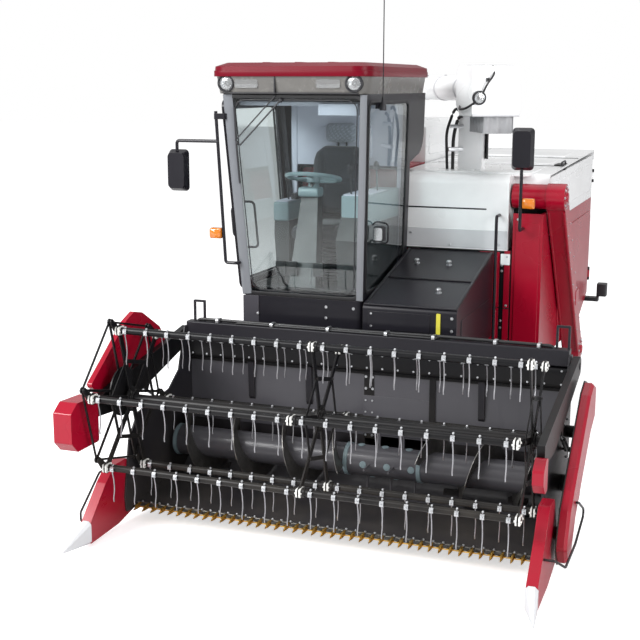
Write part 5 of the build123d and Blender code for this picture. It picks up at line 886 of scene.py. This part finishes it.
cushion = swell("seat_cushion", (-744, -826, 1584), (-316, -352, 1682), 40, 10, 1, seat_cloth,
                seams=((0, -640), (0, -420), (1, -470)))
swell("seat_backrest", (-738, -416, 1720), (-322, -318, 2208), 44, 10, -1, seat_cloth,
      seams=((0, -636), (0, -424), (2, 1960)), dome=0.3)
swell("seat_headrest", (-640, -396, 2226), (-420, -326, 2356), 30, 6, -1, light_cloth)
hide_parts("operator_seat")
make("seat_frame", [
    slab((-700, -760, 1318), (-360, -400, 1340), 20), slab((-690, -750, 1548), (-370, -410, 1576), 20),
    slab((-716, -800, 1566), (-344, -360, 1586), 30),
    *[slab((-676, -736, z), (-384, -424, z + 20), 26) for z in range(1344, 1544, 28)],
    slab((-700, -312, 1660), (-360, -296, 2180), 40, 1),
    pipe([(-560, -330, 2160), (-560, -340, 2290)], 7), pipe([(-500, -330, 2160), (-500, -340, 2290)], 7),
], grained_abs, bevel=3)
make("armrests", [
    joined(slab((x - 24, -690, 1850), (x + 24, -370, 1890), 16),
           slab((x - 8, -400, 1640), (x + 8, -350, 1856), 4)) for x in (-756, -304)
], grained_abs, bevel=6)


# ---------------------------------------------------------------- body
HOOD_Y, HOOD_RIGHT, HOOD_LEFT = -200, -172, 622
# White hood: the band that faces down is greyer, which is painted shade, a black strip across it is painted
# shade for a groove, and a dark seal closes its lower edge.
make("hood_lower_band", slab((HOOD_RIGHT + 2, HOOD_Y - 3, 1508), (HOOD_LEFT - 2, HOOD_Y + 2, 1636), 5, 1),
     shaded_white, bevel=2)
make("hood_groove_shade_and_seal", [
    slab((HOOD_RIGHT + 1, HOOD_Y - 1.5, 1776), (470, HOOD_Y + 2, 1786), 4, 1),
    slab((HOOD_RIGHT - 1, HOOD_Y + 4, 1490), (HOOD_LEFT, HOOD_Y + 30, 1502)),
], soft_pvc)
make("hood_bolts", bolts([(-120, HOOD_Y - 3, 1540), (560, HOOD_Y - 3, 1540), (-60, HOOD_Y - 3, 1600),
                          (220, HOOD_Y - 3, 1526)], -Y, 14), bright_zinc)
make("hood_top_joints", [
    slab((HOOD_RIGHT + 4, 620, 2024), (860, 626, 2034)),
    slab((HOOD_RIGHT + 4, 1320, 2041), (860, 1326, 2051)), slab((780, 640, 2026), (850, 850, 2040), 16),
], soft_pvc)
# Lids on the hood's top.
make("hood_lids", [
    slab((-120, y0, 2000), (740, y1, z), 40)
    for y0, y1, z in ((-90, 560, 2029), (700, 1250, 2046), (1400, 2160, 2062))
], white, bevel=6)

# Shroud over the feeder: turned-down rim, a fold across it, three knobs on top, and side strips.
SHROUD_SLOPE = 225 / 1028


def shroud_top(y):
    """Height of the shroud's sloping top at y."""
    return 1262 + (y + 1236) * SHROUD_SLOPE


knob = turned([(20, -2), (20, 3), (11, 6), (10, 12), (17, 16), (18, 26), (12, 32)], 0, (0, -SHROUD_SLOPE, 1),
              18)
make("shroud_knobs", copies(knob, [(x, y, shroud_top(y)) for x, y in ((63, -483), (287, -487), (346, -977))]),
     bright_zinc)
make("shroud_rims", [
    *[strip([(x, y, shroud_top(y) + 2) for y in (-1228, -900, -560, -216)], 20, 9, 3, up=Z)
      for x in (-64, 518)],
    strip([(-70, -1226, shroud_top(-1226) + 1), (524, -1226, shroud_top(-1226) + 1)], 18, 10, 3),
    strip([(-60, -760, shroud_top(-760) + 1), (514, -760, shroud_top(-760) + 1)], 26, 7, 2),
    slab((-40, -1241, 1108), (360, -1234, 1226), 14, 1), slab((529, -1120, 1000), (534, -300, 1180), 20, 0),
], charcoal, bevel=2)
make("shroud_strip", slab((402, -1243, 1104), (428, -1236, 1236), 6, 1), yellow_vinyl)
make("shroud_fasteners", bolts([(-20, -1237, 1130), (-20, -1237, 1210), (500, -1237, 1130),
                                (500, -1237, 1210)], -Y, 14), bright_zinc)

# Red front panels: the dark gaps between them, bolts, a pale plate, seams and pressed fields.
FACE = -204
make("panel_gap", [
    slab((574, FACE + 4, 720), (602, FACE + 24, 1496)), slab((646, FACE + 4, 720), (654, FACE + 24, 1500)),
], black)
make("panel_bolts", bolts([(588, FACE + 4, z) for z in (960, 1010, 1360, 1400)] + [
    (624, FACE, z) for z in (760, 1120, 1460)] + [(690, FACE, 730), (690, FACE, 1720), (820, FACE, 730)],
    -Y, 13), bright_zinc)
make("panel_plate", slab((580, FACE - 5, 1404), (644, FACE + 2, 1480), 5, 1), white)
make("panel_seams", [
    slab((604, FACE - 1.5, 1096), (644, FACE + 2, 1104)), slab((434, FACE - 1.5, 830), (570, FACE + 2, 838)),
    slab((604, FACE - 1.5, 830), (644, FACE + 2, 838)),
], soft_pvc)
make("panel_swages", [
    slab((446, FACE - 5, 1130), (558, FACE + 1, 1470), 14, 1),
    slab((446, FACE - 5, 850), (558, FACE + 1, 1086), 14, 1),
    slab((676, FACE - 6, 740), (842, FACE + 1, 1700), 22, 1),
], crimson, bevel=4)

# Side covers: pressed fields with rounded corners, latches, and the handle on the hood's edge.
make("side_swage", prism(rounded([(640, 700), (1300, 660), (2120, 930), (2120, 1560), (330, 1560)], 60, 7), 0,
                         858, 868), crimson, "side_cover", bevel=6)
make("side_swage_top", prism(rounded([(330, 1740), (2120, 1740), (2120, 1960), (230, 1950)], 50, 7), 0, 858,
                             867), white, "side_cover", bevel=5)
latch = joined(slab((-2, -40, -22), (10, 40, 22), 10, 0), slab((8, -14, -12), (20, 34, 12), 8, 0))
make("side_latches", copies(latch, [(860, 700, 1560), (860, 1180, 620), (860, 470, 1620), (860, 560, 1780)]),
     grained_abs, "side_cover")
make("hood_handle", [
    slab((850, 640, 2004), (866, 700, 2016)),
    pipe([(842, 600, 2034), (842, 612, 2058), (842, 780, 2062), (842, 796, 2040)], 7),
], grained_abs)

# Elevator: flanges and bands of its box, bolts, bearing caps, inspection lid and the chain tightener.
EL_FOOT, EL_HEAD = np.array([950, 600]), np.array([-95, 1870])
EL_LENGTH = np.linalg.norm(EL_HEAD - EL_FOOT)
el_run = (EL_HEAD - EL_FOOT) / EL_LENGTH
el_side = np.array([-el_run[1], el_run[0]])


def on_elevator(x, along, aside):
    """Place on the elevator: along its axis from the foot, aside from the axis, at x."""
    return np.insert(EL_FOOT + el_run * along + el_side * aside, 0, x)


lip = box_ring(10, 16, 2, 3)
make("elevator_lips", [*[
    carried([on_elevator(x, 70, aside), on_elevator(x, EL_LENGTH - 70, aside)], lip, up=X)
    for x in (878, 982) for aside in (-77, 77)
], *[
    strip([on_elevator(872, along, -80), on_elevator(990, along, -80)], 30, 8, up=(0, 0.6, 0.8))
    for along in (400, 820, 1240)
]], crimson, bevel=1.5)
make("elevator_bolts", [
    bolts(on_elevator(992, EL_LENGTH, 0) + bolt_circle(70, 8), X, 14),
    bolts(on_elevator(992, 0, 0) + bolt_circle(72, 8), X, 14),
    bolts([on_elevator(990, along, aside) for along in np.linspace(140, EL_LENGTH - 140, 9)
           for aside in (-60, 60)], X, 12),
], bright_zinc)
bearing_cap = turned([(62, 0), (62, 4), (34, 7), (30, 16), (12, 18)], 0, X, 32)
make("elevator_caps", [
    copies(bearing_cap, [on_elevator(991, EL_LENGTH, 0), on_elevator(991, 0, 0)]),
    slab((984, 560, 1010), (996, 700, 1120), 16, 0), slab((900, 880, 480), (960, 1010, 512), 10),
], crimson, bevel=2)

# Rear hood: pressed ribs and the straps of its hinges.
make("rear_ribs", [slab((x - 16, 2796, 900), (x + 16, 2798, 1500), 8, 1) for x in (60, 370, 680)], crimson,
     "rear_hood")
make("rear_straps", [
    slab((-20, 2252, 1764), (40, 2420, 1774), 8), slab((700, 2252, 1764), (760, 2420, 1774), 8),
], bright_zinc, "rear_hood")

# Engine bay: mesh in the radiator door, latch, louvres, muffler straps and the pipe's rain cap.
make("radiator_mesh", [
    *[slab((-1066, y - 1.5, 842), (-1063, y + 1.5, 1882)) for y in np.arange(-100, 505, 22)],
    *[slab((-1063, -112, z - 1.5), (-1060, 512, z + 1.5)) for z in np.arange(850, 1880, 22)],
], bare_steel, "radiator_door")
make("radiator_latch", slab((-1080, -122, 1330), (-1069, -96, 1400), 6, 0), grained_abs, "radiator_door")
louvre = np.array([(0, 0), (-14, -10), (-16, -26), (-12, -26), (-9, -12), (0, -6)], float)
make("bay_louvres", [
    prism(louvre + (-184, z), 0, -960, -640) for z in range(820, 1080, 34)
], charcoal)
make("muffler_straps", [
    turned([(61, -14), (66, -14), (66, 14), (61, 14)], (x, 330, 2102), X, 32) for x in (-640, -520, -400)
], bright_zinc)
make("exhaust_cap", [
    carried([(-390, 330, 2300), (-390, 330, 2326)], ring(33, 20), up=X),
    strip([(-390, 296, 2344), (-390, 368, 2352)], 70, 4, 1, up=Z),
    slab((-396, 360, 2318), (-384, 372, 2350)),
], burnt)

# Grain tank: swages on its walls, sight window and lid handle. Fuel tank: cap and straps.
make("tank_swages", [
    *[slab((-1066, y0, 1230), (-1058, y1, 2230), 30, 0)
      for y0, y1 in ((680, 940), (1000, 1260), (1320, 1580))],
    slab((-192, 700, 2090), (-184, 1580, 2240), 30, 0), slab((-980, 1658, 1240), (-260, 1667, 2230), 40, 1),
], white, bevel=5)
make("tank_window", slab((-900, 602, 2120), (-700, 607, 2240), 20, 1), window_glass)
make("tank_handle", pipe([(-660, 900, 2346), (-660, 900, 2372), (-560, 900, 2372), (-560, 900, 2346)], 7, 14),
     grained_abs)
make("fuel_cap", [
    turned([(46, 0), (46, 26), (38, 34)], (-990, 880, 1010), (-0.75, 0, 0.66), 24),
    *[slab((-1043, y - 14, 704), (-1036, y + 14, 1090)) for y in (800, 1190)],
], grained_abs)

# Unloading pipe: bands with their bolts, a cable, the lamp and hoses of the spout, and its rubber curtain.
BOOM_ROOT, BOOM_RUN = np.array([-800, 1900, 2590]), np.array([0.524104, -0.851669, 0])
BOOM_SIDE = np.array([0.851669, 0.524104, 0])


def on_boom(along, aside, up):
    """Place on the boom: along its axis from the riser, aside to its left, up from the axis."""
    return BOOM_ROOT + BOOM_RUN * along + BOOM_SIDE * aside + (0, 0, up)


band = turned([(87, -12), (93, -12), (93, 12), (87, 12)], 0, BOOM_RUN, 40)
band_places = np.array([on_boom(s, 0, 0) for s in (420, 900, 1380, 1860, 2120)])
# The bands take the greyer white, whose grey is painted shade.
make("boom_bands", copies(band, band_places), shaded_white, "unload_boom")
make("boom_band_bolts", bolts(band_places + (0, 0, 94), Z, 14), bright_zinc, "unload_boom")
make("boom_cable", [
    carried([on_boom(s, 60, 72) for s in (320, 700, 1100, 1500, 1900, 2150)], ring(8, 8)),
    pipe([on_boom(2150, 60, 72), on_boom(2230, 96, 40), on_boom(2260, 160, -60), on_boom(2300, 150, -110)], 8,
         40),
], soft_pvc, "unload_boom")
lamp_face = on_boom(2519, -122, -58)
for name, finish, smooth, profile in (
    ("bezel", grained_abs, 35, [(34, -4), (44, -2), (48, 20), (44, 30), (36, 26), (36, 4)]),
    ("bowl", chrome, 60, [(6, 2), (20, 6), (30, 13), (36, 24), (37, 24), (33, 10), (20, 3), (6, 0)]),
    ("lens", clear_lens, 60, [(1, 31), (16, 30), (35, 26), (35, 23), (16, 27), (1, 28)]),
):
    make("spout_lamp_" + name, turned(profile, lamp_face, BOOM_RUN, 36), finish, "unload_boom", smooth=smooth)
make("spout_hoses", [
    pipe([on_boom(2528, -96, -30), on_boom(2552, -70, 40), on_boom(2540, -20, 96), on_boom(2440, 0, 150)], 7,
         40),
    pipe([on_boom(2524, -150, -90), on_boom(2490, -196, -128), on_boom(2300, -190, -140),
          on_boom(2140, -90, -60)], 8, 60),
    slab(on_boom(2522, -60, 60) - (12, 12, 12), on_boom(2522, -60, 60) + (12, 12, 12), 6),
], soft_pvc, "unload_boom")
make("spout_curtain", [
    *[strip([on_boom(s + 5 * math.sin(a / wave), a, z) for a in np.linspace(-76, 126, 22)], 4, deep, up=Z)
      for s, wave, z, deep in ((2506, 11, -232, 128), (2240, 13, -226, 116))],
    *[strip([on_boom(s, a + 4 * math.sin(s / 12), -230) for s in np.linspace(2238, 2504, 22)], 4, 122, up=Z)
      for a in (128, -78)],
], curtain_rubber, "unload_boom")
# The rim takes the greyer white, whose grey is painted shade.
make("spout_rim", strip([on_boom(2526, a, -172) for a in (-166, 166)], 12, 20, 3, up=Z),
     shaded_white, "unload_boom", bevel=2)

# Boom rest: rubber pad in its cradle, a dark bracket, and two hoses clipped to the post.
pad = np.array([(-84, 22), (-60, -2), (-30, -4), (0, -5), (30, -4), (60, -2), (84, 22), (70, 22), (52, 1),
                (0, -1), (-52, 1), (-70, 22)])[::-1] * (1, 0.9)
make("rest_pad", carried([on_boom(s, 0, -91) for s in (2000, 2100)], pad, up=Z), track_rubber)
make("rest_bracket", [
    strip([on_boom(2050, 98, -490), on_boom(2050, 98, -180)], 9, 120, 3, up=BOOM_RUN),
    strip([on_boom(1980, -40, -530), on_boom(1980, -40, -210)], 30, 26, 4, up=BOOM_RUN),
], soft_pvc)
make("rest_hoses", [
    pipe([on_boom(2080, -150, -560), on_boom(2080, -150, -330), on_boom(2080, -118, -200),
          on_boom(2080, -88, -190)], 12, 60),
    pipe([on_boom(2040, -178, -560), on_boom(2040, -190, -300), on_boom(2040, -130, -130),
          on_boom(2040, -86, -160)], 10, 60),
], soft_pvc)
make("rest_clips", [
    strip([on_boom(2090, -82, -420), on_boom(2090, -186, -420)], 26, 30, 5),
    strip([on_boom(2090, -82, -260), on_boom(2090, -176, -260)], 22, 26, 5),
], bright_zinc)

# Red skirt of the roof, turned down over the frosted band.
roof_edge = rounded([(-1090, -1288, 2684), (-32, -1288, 2684), (-32, 128, 2684), (-1090, 128, 2684)], 110, 9)
# The skirt takes the roof's darker red, which is painted shade.
make("roof_skirt", strip(roof_edge, 5, 36, 2, up=Z, closed=True), shaded_roof_red)

# Baffle bolted over the top of the feeder's mouth.
# The baffle takes the same lighter grey, partly wear and partly painted sheen.
make("feed_baffle", slab((-38, SHEET_Y - 5, 452), (398, SHEET_Y - 2, 700), 8, 1), straw_worn_sheen, "header")


# ---------------------------------------------------------------- stage
def studio():
    """Pale floor, one large soft lamp in front on the machine's right, a fill, a top lamp, and the camera."""
    mesh = bpy.data.meshes.new("floor")
    mesh.from_pydata([(-60, -60, 0), (60, -60, 0), (60, 60, 0), (-60, 60, 0)], [], [(0, 1, 2, 3)])
    placed("floor", mesh)
    material, node, place = blank("pale_studio_floor")
    cloud = node("TexNoise", {"Vector": place, "Scale": 0.5})[0]
    colour = node("Mix", {"Factor": cloud, 6: linear("#E9E9EA"), 7: linear("#EFEFF0")}, data_type="RGBA")[2]
    matt = node("BsdfDiffuse", {"Color": colour})[0]
    shine = node("Emission", {"Color": (1, 1, 1, 1), "Strength": 0.6})[0]
    lit = node("AddShader", (matt, shine))[0]
    seen = node("LightPath")["Is Camera Ray"]
    both = node("MixShader", (seen, matt, lit))[0]
    node("OutputMaterial", {"Surface": both})
    mesh.materials.append(material)

    world = bpy.data.worlds.new("studio")
    bpy.context.scene.world = world
    world.use_nodes = True
    world.node_tree.nodes.clear()
    rays = add(world, "LightPath")
    direct = add(world, "Math", (rays["Is Camera Ray"], rays["Is Transmission Ray"]),
                 operation="MAXIMUM")[0]
    bright = add(world, "Mix", {0: direct, 2: 0.62, 3: 1.0})[0]
    sky = add(world, "Background", {"Color": (1, 1, 1, 1), "Strength": bright})[0]
    add(world, "OutputWorld", {"Surface": sky})

    # name, place, point aimed at, width, height, watts
    for name, place, aim, wide, high, watts in (
        ("key", (-5.5, -8.0, 6.5), (0, -1, 1), 5.0, 4.0, 1150),
        ("fill", (8.0, -5.0, 4.0), (0, 0, 1), 4.0, 4.0, 420),
        ("top", (0.0, 1.0, 8.0), (0, 0, 0), 7.0, 7.0, 180),
    ):
        lamp = bpy.data.lights.new(name, "AREA")
        lamp.shape, lamp.size, lamp.size_y, lamp.energy = "RECTANGLE", wide, high, watts
        holder = placed(name, lamp)
        holder.location = place
        holder.rotation_euler = (Vector(aim) - Vector(place)).to_track_quat("-Z", "Y").to_euler()

    eye, aim, roll = Vector((2.201, -8.175, 2.624)), Vector((-0.296, -1.416, 1.18)), math.radians(0.117)
    camera = bpy.data.cameras.new("camera")
    camera.lens, camera.sensor_width = 66.4, 36.0
    stand = placed("camera", camera)
    turn = (aim - eye).to_track_quat("-Z", "Y").to_matrix() @ Matrix.Rotation(roll, 3, "Z")
    stand.matrix_world = Matrix.Translation(eye) @ turn.to_4x4()
    bpy.context.scene.camera = stand
    bpy.context.scene.view_settings.view_transform = "Standard"


studio()
bpy.context.view_layer.update()
